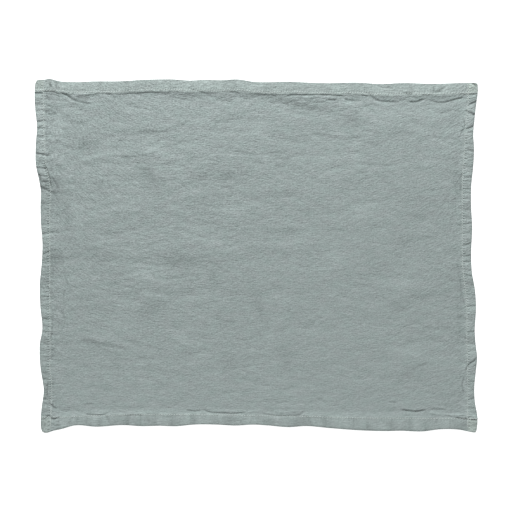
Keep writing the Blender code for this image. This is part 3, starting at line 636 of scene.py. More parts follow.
def streak_places(x, y):
    """The place of each point on the crinkle's grain, whose streaks turn and wander across the mat."""
    along, across = x.copy(), y + STREAK_SLOPE * x - STREAK_CURVE * x ** 2 / 2
    for size, length in STREAK_WANDERS:
        along = along + size * smooth_noise(x / length, y / length, WANDER_ALONG_LAYER + length)
        across = across + size * smooth_noise(x / length, y / length, WANDER_ACROSS_LAYER + length)
    return along, across


def pulled_places(x, y):
    """The place of each point among the fine streaks, which slant beside the side hems."""
    slant = np.where(x < 0, np.maximum(PULL_LEFT + PULL_LEFT_MORE * y, 0.0), PULL_RIGHT)
    return x, y - slant * np.maximum(np.abs(x) - PULL_START, 0.0) ** 2 / (2.0 * PULL_LENGTH)


def crinkle_relief(crinkle, along, across):
    """One size of wrinkle, everywhere."""
    return crinkle.height * 2.0 * streaky_noise(crinkle, along, across, crinkle.long)


def fold_relief(fold, along, across):
    """The thin folds of one size: troughs where the noise crosses zero, in some patches only."""
    lines = np.exp(-np.abs(streaky_noise(fold, along, across, FOLD_LAYER + fold.long)) / FOLD_SHARP)
    patches = smooth_noise(along / FOLD_PATCH, across / FOLD_PATCH, FOLD_PATCH_LAYER + fold.long) + 0.5
    return -fold.depth * lines * ease((patches - fold.share) / FOLD_PATCH_EDGE)


class ClothShape:
    """Where every point of the cloth lies, in millimetres. u and v place it on the straight rectangle."""

    def __init__(self, settings):
        self.half_u = settings.length / MM / 2
        self.half_v = settings.depth / MM / 2
        self.cloth = settings.cloth_height / MM
        self.hem_width = settings.hem_width / MM
        self.hem_rise = settings.hem_rise / MM
        self.crinkle = settings.crinkle

    def inward(self, u, v):
        """How far in a point is from the side edges and from the end edges."""
        return self.half_u - np.abs(u), self.half_v - np.abs(v)

    def round_corners(self, u, v):
        """Draws the square corners of the straight rectangle in to a quarter circle."""
        left = np.where(v < 0, FRONT_LEFT_RADIUS, BACK_LEFT_RADIUS)
        right = np.where(v < 0, FRONT_RIGHT_RADIUS, BACK_RIGHT_RADIUS)
        radius = np.where(u < 0, left, right)
        side_u = np.clip((np.abs(u) - self.half_u + radius) / radius, 0.0, 1.0)
        side_v = np.clip((np.abs(v) - self.half_v + radius) / radius, 0.0, 1.0)
        pull_u = radius * side_u * (np.sqrt(1.0 - side_v ** 2 / 2) - 1.0)
        pull_v = radius * side_v * (np.sqrt(1.0 - side_u ** 2 / 2) - 1.0)
        return u + np.sign(u) * pull_u, v + np.sign(v) * pull_v

    def edge_pull(self, rows, along, inward):
        """How far outward the cloth is moved at a distance in from the straight edge."""
        at_edge = read_rows(rows, "edge", along)
        at_seam = self.hem_width - read_rows(rows, "seam", along)
        across = np.clip(inward / self.hem_width, 0.0, 1.0)
        fade = 1.0 - ease((inward - self.hem_width) / (PULL_REACH - self.hem_width))
        return (at_edge + (at_seam - at_edge) * across) * fade

    def lay_flat(self, u, v):
        """Where a point of the straight rectangle lies on the uneven mat."""
        side, end = self.inward(u, v)
        sideways = np.where(
            u < 0, -self.edge_pull(LEFT_EDGE, v, side), self.edge_pull(RIGHT_EDGE, v, side))
        endways = np.where(
            v < 0, -self.edge_pull(FRONT_EDGE, u, end), self.edge_pull(BACK_EDGE, u, end))
        round_u, round_v = self.round_corners(u, v)
        return round_u + sideways, round_v + endways

    def lift(self, u, v):
        """How far the underside stands off the surface, near the edges only."""
        side, end = self.inward(u, v)
        side_lift = np.where(u < 0, read_rows(LEFT_EDGE, "lift", v), read_rows(RIGHT_EDGE, "lift", v))
        end_lift = np.where(v < 0, read_rows(FRONT_EDGE, "lift", u), read_rows(BACK_EDGE, "lift", u))
        side_share, end_share = 1.0 - ease(side / LIFT_REACH), 1.0 - ease(end / LIFT_REACH)
        return np.maximum(0.0, np.maximum(side_share * side_lift, end_share * end_lift))

    def hem_height(self, inward, share, start, drawn_in):
        """What a hem adds to the single cloth, from its folded edge to its shoulder."""
        crown = HEM_CROWN * np.sin(np.pi * np.clip(inward / self.hem_width, 0.0, 1.0))
        past = inward - self.hem_width
        step = 1.0 - ease((past - start) / STEP_WIDTH)
        shoulder = share * step + (1.0 - share) * (1.0 - ease(past / SHOULDER))
        return self.hem_rise * shoulder + crown - drawn_in * falloff(past, GROOVE_WIDTH)

    def pucker_relief(self, puckers, inward, along, steep_above):
        """The valleys across one hem."""
        total = np.zeros_like(along)
        for pucker in puckers:
            line = pucker.along + pucker.slant * (inward / self.hem_width - 0.5)
            off = along - line
            starts = ease((inward - pucker.start) / PUCKER_START + 1.0) if pucker.start else 1.0
            ends = 1.0 - ease((inward - pucker.reach + PUCKER_END_BEFORE) / PUCKER_END)
            sides = np.where(off < 0, GENTLE_SIDE, STEEP_SIDE) if steep_above else 1.0
            total -= pucker.depth * starts * ends * crease_profile(off, pucker.width * sides)
        return total

    def puckers(self, u, v):
        """The valleys across all four hems."""
        side, end = self.inward(u, v)
        x, y = self.lay_flat(u, v)
        left = self.pucker_relief(LEFT_PUCKERS, side, y, True)
        right = self.pucker_relief(RIGHT_PUCKERS, side, y, True)
        front = PUCKERS_FRONT * self.pucker_relief(FRONT_PUCKERS, end, x, False)
        back = self.pucker_relief(BACK_PUCKERS, end, x, False)
        return np.where(u < 0, left, right) + np.where(v < 0, front, back)

    def puffs(self, u, v):
        """The pillows that stand up between the valleys of the side hems."""
        side, _ = self.inward(u, v)
        _, y = self.lay_flat(u, v)
        across = np.sin(np.pi * np.clip((side + PUFF_OUTSIDE) / (self.hem_width + PUFF_OVER), 0.0, 1.0))
        total = np.zeros_like(y)
        for rows, here in ((LEFT_PUCKERS, u < 0), (RIGHT_PUCKERS, u >= 0)):
            places = np.sort([row.along for row in rows if row.depth >= PUFF_BETWEEN])
            after = np.clip(np.searchsorted(places, y), 1, len(places) - 1)
            span = places[after] - places[after - 1]
            part = np.clip((y - places[after - 1]) / span, 0.0, 1.0)
            total += np.where(here, PUFF_SLOPE * np.minimum(span, PUFF_LONGEST) * part * (1.0 - part), 0.0)
        return total * across

    def rests(self, u, v):
        """Height of the cloth's underside inside the flap: near the surface, up to the hem's layers."""
        side, end = self.inward(u, v)
        flap_end = self.hem_width + FLAP_PAST_SEAM
        past = np.minimum(side, end) - flap_end
        step = (1.0 - STEP_SIDES) * self.hem_rise * (1.0 - ease(past / UNDER_EASE))
        winding = u / UNDER_WAVE_X + UNDER_WIND * np.sin(v / UNDER_WIND_Y)
        return UNDER_REST + UNDER_WAVE * np.sin(winding) * np.cos(v / UNDER_WAVE_Y) + step

    def bottom(self, u, v):
        """Height of the underside: the turned flap along the edges and the single cloth inside it."""
        side, end = self.inward(u, v)
        inward = np.minimum(side, end)
        seam_off = np.minimum(np.abs(side - self.hem_width), np.abs(end - self.hem_width))
        flap = UNDER_GROOVE * falloff(seam_off, GROOVE_WIDTH)
        past = ease((inward - self.hem_width - FLAP_PAST_SEAM) / FLAP_STEP)
        return self.lift(u, v) + flap * (1.0 - past) + self.rests(u, v) * past

    def top(self, u, v):
        """Height of the top, with its hems, valleys, creases, swells and crinkle."""
        x, y = self.lay_flat(u, v)
        side, end = self.inward(u, v)
        front = v < 0
        share, start = np.where(front, STEP_FRONT, STEP_BACK), np.where(front, STEP_START, STEP_START_BACK)
        hems = self.hem_height(side, STEP_SIDES, STEP_START, GROOVE_SIDES)
        hems += self.hem_height(end, share, start, GROOVE_ENDS)
        hems = np.minimum(hems, THICKEST - self.cloth)
        folds = self.puckers(u, v) + self.puffs(u, v)
        folds += sum(crease_relief(crease, x, y) for crease in CREASES)
        folds += sum(swell.rise * soft_patch(swell, x, y) for swell in SWELLS)
        along, across = streak_places(x, y)
        grain = sum(crinkle_relief(crinkle, along, across) for crinkle in CRINKLES)
        grain += sum(fold_relief(fold, along, across) for fold in FOLDS)
        single = ease((np.minimum(side, end) - self.hem_width - STEP_START) / STEP_WIDTH)
        grain *= self.crinkle * self.strength(u, v) * (CRINKLE_IN_HEM + (1.0 - CRINKLE_IN_HEM) * single)
        height = self.lift(u, v) + self.cloth + hems + folds + grain
        return np.maximum(height, self.floor_of_top(u, v))

    def strength(self, u, v):
        """How strong the crinkle is: it grows from front to back, and beside the side hems."""
        side, _ = self.inward(u, v)
        along_depth = CRINKLE_FRONT + (CRINKLE_BACK - CRINKLE_FRONT) * (v / self.half_v / 2 + 0.5)
        beside = CRINKLE_SIDES * np.exp(-np.maximum(side - self.hem_width, 0.0) / CRINKLE_SIDES_REACH)
        across = ease(u / CRINKLE_ACROSS + 0.5)
        return (along_depth + beside) * (CRINKLE_LEFT + (CRINKLE_RIGHT - CRINKLE_LEFT) * across)

    def floor_of_top(self, u, v):
        """The lowest that the top may be over the underside."""
        side, end = self.inward(u, v)
        inside = np.minimum(side, end) > self.hem_width + FLAP_PAST_SEAM
        return np.where(inside, self.rests(u, v), self.lift(u, v)) + THINNEST

    def rounded(self, u, v, height, other):
        """Rounds the folded edge: the height runs to the middle of the edge's thickness at the rim."""
        near = np.clip(np.minimum(*self.inward(u, v)) / EDGE_ROUND, 0.0, 1.0)
        middle = (height + other) / 2
        return middle + (height - middle) * np.sqrt(1.0 - (1.0 - near) ** 2)


class ClothTones(ClothShape):
    """How light and how shaded every point of the cloth is."""

    def in_hem(self, u, v):
        """1 in the hems and 0 inside them."""
        inward = np.minimum(*self.inward(u, v))
        return 1.0 - ease((inward - self.hem_width - FLAP_PAST_SEAM) / HEM_BLEND)

    def crossing(self, u, v):
        """1 in the corners, where two hems lie over each other."""
        inward = np.maximum(*self.inward(u, v))
        return ease((self.hem_width + CROSSING_PAST - inward) / CROSSING_BLEND)

    def tone_and_painted_light(self, u, v):
        """How much lighter the cloth is than its plain colour, as a share, with painted light and shade in
        it.
        """
        side, end = self.inward(u, v)
        x, y = self.lay_flat(u, v)
        in_hem, along_end = self.in_hem(u, v), end < side
        # Patches of uneven colour and of painted light and shade
        tone_and_painted_light = sum(tone_light_patch.tone * soft_patch(tone_light_patch, x, y) for tone_light_patch in TONE_AND_LIGHT_PATCHES)
        left_hem = TONE_LEFT_HEM * ease((v - TONE_LEFT_FROM) / TONE_LEFT_OVER)
        side_hems = np.where(u < 0, left_hem, TONE_RIGHT_HEM)
        end_hems = np.where(v > 0, TONE_BACK_HEM, TONE_FRONT_HEM)
        # Painted light towards the front and back, and the lighter hems
        tone_and_painted_light += PAINTED_LIGHT_ENDS * (y / PAINTED_LIGHT_ENDS_AT) ** 2 + in_hem * np.where(along_end, end_hems, side_hems)
        beside = {"left": (u < 0, side), "right": (u >= 0, side), "front": (v < 0, end), "back": (v > 0, end)}
        # Painted highlights and shadows beside the side stitches, and bands beside the front and back
        # stitches
        for line in SEAM_LIGHT_AND_SHADE:
            here, inward = beside[line.hem]
            tone_and_painted_light += line.tone * here * falloff(inward - self.hem_width - line.past, line.width)
        along, inward = np.where(along_end, x, y), np.minimum(side, end)
        blocks = smooth_noise(along / HEM_BLOCK_LONG, inward / HEM_BLOCK_WIDE, HEM_BLOCK_LAYER)
        tone_and_painted_light += np.where(v < 0, HEM_BLOCK_FRONT, HEM_BLOCK_BACK) * in_hem * blocks
        return tone_and_painted_light + np.where(u > 0, CROSSING_TONE_RIGHT, CROSSING_TONE_LEFT) * self.crossing(u, v)

    def layers(self, u, v):
        """How much the cloth shows the colour that its layers have together."""
        side, end = self.inward(u, v)
        hems = np.where((end < side) & (v > 0), LAYERED_BACK_HEM, LAYERED_HEMS)
        return self.in_hem(u, v) * hems + np.where(u > 0, LAYERED_RIGHT, LAYERED_LEFT) * self.crossing(u, v)

    def shade(self, u, v):
        """What the creases, the valleys and the folded edge take from the light, as a share."""
        side, end = self.inward(u, v)
        x, y = self.lay_flat(u, v)
        sharp = sum(crease_relief(crease, x, y) for crease in CREASES if crease.rise < 0)
        deep = np.clip(-(SHADE_CREASE * sharp + SHADE_PUCKER * self.puckers(u, v)), 0.0, 1.0)
        rims = np.where(end < side, np.where(v > 0, SHADE_RIM_BACK, SHADE_RIM_FRONT), SHADE_RIM_SIDES)
        rim = falloff(np.minimum(side, end), SHADE_RIM_WIDTH) * rims
        return 1.0 - (1.0 - SHADE_DEEPEST * deep) * (1.0 - SHADE_RIM * rim)

    def gathers(self, inward):
        """1 beside a row of stitches, on the hem, where the cloth is gathered."""
        return falloff(inward - self.hem_width + GATHERS_BEFORE, GATHERS_WIDTH)


# ---------------------------------------------------------------------------------------------------------
# Mesh helpers
# ---------------------------------------------------------------------------------------------------------

def mesh_lines(half, edge_lines, step):
    """Places of a mesh's lines across the mat: close together in the hems and even between them."""
    near = [half - inward for inward in edge_lines]
    inner = near[-1]
    count = int(round(2 * inner / step))
    middle = list(np.linspace(-inner, inner, count + 1)[1:-1])
    return np.array([-place for place in near] + middle + near[::-1])


def clear_selection():
    """Nothing is selected, and Blender is in object mode."""
    if bpy.context.mode != "OBJECT":
        bpy.ops.object.mode_set(mode="OBJECT")
    bpy.ops.object.select_all(action="DESELECT")


def edit_all(piece, change, **how):
    """Makes one change in edit mode to the whole of a piece."""
    clear_selection()
    piece.select_set(True)
    bpy.context.view_layer.objects.active = piece
    bpy.ops.object.mode_set(mode="EDIT")
    bpy.ops.mesh.select_all(action="SELECT")
    change(**how)
    bpy.ops.object.mode_set(mode="OBJECT")


def add_flat_grid(name, lines_u, lines_v):
    """A grid whose lines lie at the given places. Returns the object and each vertex's u and v."""
    clear_selection()
    bpy.ops.mesh.primitive_grid_add(
        x_subdivisions=len(lines_u) - 1, y_subdivisions=len(lines_v) - 1, size=2.0)
    grid = bpy.context.object
    grid.name = name
    points = read_points(grid.data)
    column = np.rint((points[:, 0] + 1.0) / 2.0 * (len(lines_u) - 1)).astype(int)
    row = np.rint((points[:, 1] + 1.0) / 2.0 * (len(lines_v) - 1)).astype(int)
    if len(points) != len(lines_u) * len(lines_v):
        raise RuntimeError(f"{name}: the grid has {len(points)} points")
    return grid, lines_u[column], lines_v[row]


def refine(grid, shape):
    """Halves the flat grid's steps along the hems and beside them. Returns each vertex's u and v."""
    edit = bmesh.new()
    edit.from_mesh(grid.data)
    chosen = []
    for edge in edit.edges:
        middle = (edge.verts[0].co + edge.verts[1].co) / 2 / MM
        side, end = shape.inward(middle.x, middle.y)
        runs_along_x = abs(edge.verts[0].co.y - edge.verts[1].co.y) < 1e-7
        if runs_along_x and min(side, end) < FINE_REACH and side > FINE_HEM:
            chosen.append(edge)
        elif not runs_along_x and (side < FINE_HEM or shape.hem_width < end < FINE_REACH):
            chosen.append(edge)
    bmesh.ops.subdivide_edges(edit, edges=chosen, cuts=1, use_grid_fill=True)
    edit.to_mesh(grid.data)
    edit.free()
    points = read_points(grid.data) / MM
    return points[:, 0], points[:, 1]


def read_points(mesh):
    """A mesh's vertices as an array."""
    points = np.empty(len(mesh.vertices) * 3)
    mesh.vertices.foreach_get("co", points)
    return points.reshape(-1, 3)


def write_points(mesh, x, y, z):
    """Sets a mesh's vertices, in millimetres."""
    mesh.vertices.foreach_set("co", (np.column_stack((x, y, z)) * MM).ravel())
    mesh.update()


def write_attribute(mesh, name, values):
    """Keeps one number for each vertex, for the material to read."""
    attribute = mesh.attributes.new(name, "FLOAT", "POINT")
    attribute.data.foreach_set("value", np.asarray(values, dtype=np.float32))


def around(u, v):
    """How far round the rim a vertex is: 0 to 8, a side of the rectangle being 2."""
    a, b = u / np.abs(u).max(), v / np.abs(v).max()
    edge = 1.0 - 1e-6
    return np.select(
        [b < -edge, a > edge, b > edge, a < -edge], [a + 1.0, b + 3.0, 5.0 - a, 7.0 - b], default=-1.0) % 8.0


def ring_of(mesh, u, v, indices):
    """The rim's vertices of one of the two faces, in order round the mat."""
    places = around(u[indices], v[indices])
    order = np.argsort(places)
    return [(places[i], mesh.verts[indices[i]]) for i in order]


def zip_rings(mesh, upper, lower):
    """Joins two rings that start at the same corner, whatever their numbers of vertices."""
    upper, lower = upper + [(8.0, upper[0][1])], lower + [(8.0, lower[0][1])]
    high, low = 0, 0
    while high < len(upper) - 1 or low < len(lower) - 1:
        lower_done, upper_left = low == len(lower) - 1, high < len(upper) - 1
        step_high = lower_done or (upper_left and upper[high + 1][0] <= lower[low + 1][0])
        here, there = upper[high][1], lower[low][1]
        if step_high:
            high += 1
            mesh.faces.new((here, there, upper[high][1]))
        else:
            low += 1
            mesh.faces.new((here, there, lower[low][1]))


def hex_colour(code, alpha=1.0):
    """An sRGB hex code as a linear colour."""
    parts = [int(code[i:i + 2], 16) / 255.0 for i in (0, 2, 4)]
    linear = [p / 12.92 if p <= 0.04045 else ((p + 0.055) / 1.055) ** 2.4 for p in parts]
    return (*linear, alpha)


def add_node(tree, kind, settings=None, **links):
    """Adds a node, gives it its settings, and fills its inputs with values or with other nodes' outputs."""
    node = tree.nodes.new(kind)
    for key, value in (settings or {}).items():
        setattr(node, key, value)
    for key, value in links.items():
        numbered = key[0] == "_" and key[1:].isdigit()
        socket = node.inputs[int(key[1:]) if numbered else key.replace("_", " ")]
        if isinstance(value, bpy.types.NodeSocket):
            tree.links.new(value, socket)
        else:
            socket.default_value = value
    return node


def new_material(name, **values):
    """A material with its Principled shader, whose own inputs get these values."""
    material = bpy.data.materials.new(name)
    material.use_nodes = True
    shader = material.node_tree.nodes["Principled BSDF"]
    for key, value in values.items():
        shader.inputs[key.replace("_", " ")].default_value = value
    return material, material.node_tree, shader


# ---------------------------------------------------------------------------------------------------------
# Settings
# ---------------------------------------------------------------------------------------------------------

def length_setting(name, default, description):
    """A length in metres."""
    return FloatProperty(name=name, description=description, default=default, unit="LENGTH")


def colour_setting(name, code, description):
    """A colour, given as an sRGB hex code."""
    return FloatVectorProperty(
        name=name, description=description, subtype="COLOR", size=4, default=hex_colour(code))


class LinenSettings(bpy.types.PropertyGroup):
    """Sizes and colours of the cloth."""
    length: length_setting("Length", 0.500, "Length of the straight mat")
    depth: length_setting("Depth", 0.400, "Depth of the straight mat")
    turned_in: length_setting("Turned in", 0.022, "Cloth turned under along each edge")
    cloth_height: length_setting("Cloth height", 0.00115, "Height of the top of the single cloth")
    hem_width: length_setting("Hem width", 0.011, "From the folded edge to the stitches")
    hem_rise: length_setting("Hem rise", 0.0011, "What the two turned layers add")
    crinkle: FloatProperty(
        name="Crinkle", description="How strong the washed crinkle is", default=1.0, subtype="FACTOR")
    warm_colour: colour_setting("Warmer colour", "98A0A0", "The linen's grey-green where it leans to grey")
    cool_colour: colour_setting("Cooler colour", "92A19E", "The linen's grey-green where it leans to green")
    layered_colour: colour_setting("Layered colour", "96A19C", "Its fuller colour in the hems")


class StitchSettings(bpy.types.PropertyGroup):
    """Sizes and colour of the stitching."""
    pitch: length_setting("Pitch", 0.0029, "From one stitch to the next")
    length: length_setting("Length", 0.0023, "Length of a stitch")
    thread: length_setting("Thread", 0.0009, "Width of the thread, a little stout so that it shows")
    colour: colour_setting("Thread colour", "C4CECB", "The thread's pale grey-green")


class StageSettings(bpy.types.PropertyGroup):
    """The camera, the lights and the floor."""
    lens: FloatProperty(name="Lens", description="Focal length in millimetres", default=85.0)
    height: length_setting("Camera height", 1.3975, "Height of the camera over the mat")
    key_power: FloatProperty(name="Key light", description="Power of the soft key light", default=74.0)
    sky: FloatProperty(name="Sky", description="Strength of the even light from all round", default=0.45)
    floor_colour: colour_setting("Floor colour", "F4F4F4", "The pale floor")
    floor_glow: FloatProperty(
        name="Floor glow", description="Light of its own, which keeps the floor free of shadow", default=0.75)


# ---------------------------------------------------------------------------------------------------------
# Materials
# ---------------------------------------------------------------------------------------------------------

# The patterns of noise that make up the linen.
#   name     what it gives, which is its node's label
#   follows  the crinkle's grain, the fine streaks that the stitches pull, or the flat cloth
#   long     length of a mark, in millimetres
#   wide     its width
#   detail   how many times finer marks are laid over it
#   rough    and how strong they are
#   weight   how much it counts, as a share of the colour or in millimetres of relief
Pattern = namedtuple("Pattern", "name follows long wide detail rough weight")

LINEN_TONES = rows_of(
    Pattern,
    ("clouds", "grain", 60.0, 36.0, 2.0, 0.5, 0.13),
    ("patches", "grain", 17.0, 8.0, 2.0, 0.5, 0.16),
    ("slubs of the weft", "pulled", 8.0, 1.25, 1.0, 0.5, 0.38),
    ("slubs of the warp", "flat", 1.3, 6.0, 1.0, 0.5, 0.24),
    ("mottle", "flat", 4.6, 4.0, 1.0, 0.5, 0.20),
    ("flecks", "flat", 2.0, 1.7, 2.0, 0.6, 0.76),
)
LINEN_RELIEFS = rows_of(
    Pattern,
    ("crumple", "grain", 6.4, 4.4, 1.0, 0.5, 0.34),
    ("crinkle", "pulled", 5.5, 2.0, 1.5, 0.5, 0.34),
    ("fine crinkle", "flat", 2.1, 1.5, 1.0, 0.5, 0.43),
)
THIN_CREASES = rows_of(
    Pattern,
    ("longer thin creases", "pulled", 18.0, 6.5, 1.0, 0.5, 1.0),
    ("shorter thin creases", "pulled", 10.0, 4.2, 1.0, 0.5, 1.0),
)
TINTS = Pattern("warmer and cooler places", "flat", 14.0, 9.0, 1.0, 0.5, 1.0)
CREASED_PLACES = Pattern("places with thin creases", "flat", 44.0, 30.0, 1.0, 0.5, 1.0)
CREASED_FROM = 0.40         # the noise is this high where the thin creases begin
CREASED_TO = 0.60           # and this high where they are all there
THIN_CREASE_WIDTH = 0.07    # how close to its middle the noise is in a thin crease
THIN_CREASE_DEPTH = 0.07    # in millimetres
THREAD_SPACING = 0.6        # millimetres from one thread of the weave to the next
THREAD_RELIEF = 0.02        # half the height of the weave, in millimetres
GATHER = 0.20               # half the height of the gathers beside the stitches, in millimetres


def add_pattern(tree, sources, pattern):
    """One pattern of noise, from 0 to 1 round a middle of a half."""
    scale = (1.0 / pattern.long, 1.0 / pattern.wide, 1.0)
    scaled = add_node(tree, "ShaderNodeMapping", Vector=sources[pattern.follows], Scale=scale).outputs[0]
    return add_node(
        tree, "ShaderNodeTexNoise", {"label": pattern.name}, Vector=scaled, Scale=1.0,
        Detail=pattern.detail, Roughness=pattern.rough).outputs["Fac"]


def add_patterns(tree, sources, patterns):
    """The sum of patterns, each times its weight and taken round its middle."""
    total = 0.0
    for pattern in patterns:
        value = add_pattern(tree, sources, pattern)
        shifted = add_node(tree, "ShaderNodeMath", {"operation": "SUBTRACT"}, _0=value, _1=0.5).outputs[0]
        total = add_node(
            tree, "ShaderNodeMath", {"operation": "MULTIPLY_ADD"}, _0=shifted, _1=pattern.weight,
            _2=total).outputs[0]
    return total


def add_thin_creases(tree, sources):
    """The height of the thin creases: troughs where the noise crosses its middle, in some places only."""
    creased = add_node(
        tree, "ShaderNodeMapRange", {"interpolation_type": "SMOOTHSTEP"}, From_Min=CREASED_FROM,
        From_Max=CREASED_TO, Value=add_pattern(tree, sources, CREASED_PLACES)).outputs[0]
    total = 0.0
    for pattern in THIN_CREASES:
        value = add_pattern(tree, sources, pattern)
        off = add_node(tree, "ShaderNodeMath", {"operation": "SUBTRACT"}, _0=value, _1=0.5).outputs[0]
        off = add_node(tree, "ShaderNodeMath", {"operation": "ABSOLUTE"}, _0=off).outputs[0]
        line = add_node(
            tree, "ShaderNodeMapRange", {"interpolation_type": "SMOOTHSTEP"}, Value=off,
            From_Max=THIN_CREASE_WIDTH, To_Min=-THIN_CREASE_DEPTH, To_Max=0.0).outputs[0]
        total = add_node(
            tree, "ShaderNodeMath", {"operation": "MULTIPLY_ADD"}, _0=line, _1=creased, _2=total).outputs[0]
    return total


def add_ripple(tree, place, length, wave):
    """A sine or cosine wave of the given length along one axis, in millimetres."""
    turn = add_node(
        tree, "ShaderNodeMath", {"operation": "MULTIPLY"}, _0=place, _1=2.0 * np.pi / length).outputs[0]
    return add_node(tree, "ShaderNodeMath", {"operation": wave}, _0=turn).outputs[0]


def washed_linen(settings):
    """Plain-woven linen, garment washed and not ironed: matt, softly crinkled, lighter where it is rubbed,
    with painted light and shade.
    """
    material, tree, shader = new_material(
        "washed linen", Roughness=0.9, Specular_IOR_Level=0.2, Sheen_Weight=0.08, Sheen_Roughness=0.6)
    size = (settings.length / MM, settings.depth / MM, 1.0)
    flat = add_node(tree, "ShaderNodeUVMap", {"uv_map": "cloth"}).outputs[0]
    flat = add_node(tree, "ShaderNodeMapping", Vector=flat, Scale=size).outputs[0]
    grain, pulled = (
        add_node(tree, "ShaderNodeAttribute", {"attribute_name": name}).outputs["Vector"]
        for name in ("grain", "pulled"))
    tone_and_painted_light, shade, layers, strength, side_seam, end_seam = (
        add_node(tree, "ShaderNodeAttribute", {"attribute_name": name}).outputs["Fac"]
        for name in ("tone_and_painted_light", "shade", "layers", "strength", "side_seam", "end_seam"))
    sources = {"flat": flat, "grain": grain, "pulled": pulled}

    # Colour: clouds, slubs of thicker thread along and across, flecks, rubbed places, painted light and shade
    tone = add_patterns(tree, sources, LINEN_TONES)
    tone = add_node(
        tree, "ShaderNodeMath", {"operation": "MULTIPLY_ADD"}, _0=tone, _1=strength, _2=tone_and_painted_light).outputs[0]
    tone = add_node(tree, "ShaderNodeMath", {"operation": "ADD"}, _0=tone, _1=1.0).outputs[0]
    # Painted shade of the creases, the valleys and the folded edge
    kept = add_node(tree, "ShaderNodeMath", {"operation": "SUBTRACT"}, _0=1.0, _1=shade).outputs[0]
    tone = add_node(tree, "ShaderNodeMath", {"operation": "MULTIPLY"}, _0=tone, _1=kept).outputs[0]
    tint = add_node(
        tree, "ShaderNodeMix", {"data_type": "RGBA"}, _0=add_pattern(tree, sources, TINTS),
        _6=settings.warm_colour, _7=settings.cool_colour).outputs[2]
    tint = add_node(
        tree, "ShaderNodeMix", {"data_type": "RGBA"}, _0=layers, _6=tint,
        _7=settings.layered_colour).outputs[2]
    colour = add_node(tree, "ShaderNodeVectorMath", {"operation": "SCALE"}, _0=tint, Scale=tone).outputs[0]
    tree.links.new(colour, shader.inputs["Base Color"])

    # Relief: crinkle and thin creases, the plain weave, and the small gathers beside the stitches
    along, across, _ = add_node(tree, "ShaderNodeSeparateXYZ", Vector=flat).outputs
    relief = add_patterns(tree, sources, LINEN_RELIEFS)
    thin = add_thin_creases(tree, sources)
    relief = add_node(tree, "ShaderNodeMath", {"operation": "ADD"}, _0=relief, _1=thin).outputs[0]
    relief = add_node(tree, "ShaderNodeMath", {"operation": "MULTIPLY"}, _0=relief, _1=strength).outputs[0]
    weft, warp = (add_ripple(tree, place, 2.0 * THREAD_SPACING, "SINE") for place in (along, across))
    threads = add_node(tree, "ShaderNodeMath", {"operation": "MULTIPLY"}, _0=weft, _1=warp).outputs[0]
    relief = add_node(
        tree, "ShaderNodeMath", {"operation": "MULTIPLY_ADD"}, _0=threads, _1=THREAD_RELIEF,
        _2=relief).outputs[0]
    pitch = bpy.context.scene.placemat_stitches.pitch / MM
    for place, mask in ((along, end_seam), (across, side_seam)):
        gather = add_ripple(tree, place, pitch, "COSINE")
        gather = add_node(tree, "ShaderNodeMath", {"operation": "MULTIPLY"}, _0=gather, _1=mask).outputs[0]
        relief = add_node(
            tree, "ShaderNodeMath", {"operation": "MULTIPLY_ADD"}, _0=gather, _1=GATHER, _2=relief).outputs[0]
    bump = add_node(tree, "ShaderNodeBump", Strength=1.0, Distance=MM, Height=relief)
    tree.links.new(bump.outputs[0], shader.inputs["Normal"])
    return material


THREAD_TWIST = 700.0        # scale of the thread's twist, about one turn in a millimetre
THREAD_TWIST_UNEVEN = 1.5
# Painted shade between the thread's strands: its colour is darkened there
THREAD_STRAND_SHADE = 0.82          # the thread is this dark between its strands
THREAD_TWIST_DEPTH = 0.1    # in millimetres
PAPER_GRAIN = 900.0         # scale of the paper's grain, about a millimetre
PAPER_GRAIN_DEPTH = 0.1     # in millimetres


def sewing_thread(settings):
    """Spun sewing thread, washed with the cloth: paler than it, with a soft twist, painted shade between its
    strands, and little shine.
    """
    material, tree, shader = new_material("spun sewing thread", Roughness=0.7, Specular_IOR_Level=0.3)
    place = add_node(tree, "ShaderNodeTexCoord").outputs["Object"]
    twist = add_node(
        tree, "ShaderNodeTexWave", {"wave_type": "BANDS", "bands_direction": "DIAGONAL"}, Vector=place,
        Scale=THREAD_TWIST, Distortion=THREAD_TWIST_UNEVEN).outputs["Fac"]
    dark = [channel * THREAD_STRAND_SHADE for channel in settings.colour[:3]] + [1.0]
    colour = add_node(tree, "ShaderNodeMix", {"data_type": "RGBA"}, _0=twist, _6=dark, _7=settings.colour)
    tree.links.new(colour.outputs[2], shader.inputs["Base Color"])
    bump = add_node(tree, "ShaderNodeBump", Strength=0.5, Distance=THREAD_TWIST_DEPTH * MM, Height=twist)
    tree.links.new(bump.outputs[0], shader.inputs["Normal"])
    return material


def paper_sweep(settings):
    """Matt white background paper with a light of its own, so that no shadow shows on it."""
    material, tree, shader = new_material(
        "white background paper", Base_Color=settings.floor_colour, Roughness=0.95, Specular_IOR_Level=0.1,
        Emission_Color=settings.floor_colour, Emission_Strength=settings.floor_glow)
    place = add_node(tree, "ShaderNodeTexCoord").outputs["Object"]
    grain = add_node(tree, "ShaderNodeTexNoise", Vector=place, Scale=PAPER_GRAIN, Detail=2.0).outputs["Fac"]
    bump = add_node(tree, "ShaderNodeBump", Strength=0.05, Distance=PAPER_GRAIN_DEPTH * MM, Height=grain)
    tree.links.new(bump.outputs[0], shader.inputs["Normal"])
    return material


# ---------------------------------------------------------------------------------------------------------
# Operators
# ---------------------------------------------------------------------------------------------------------

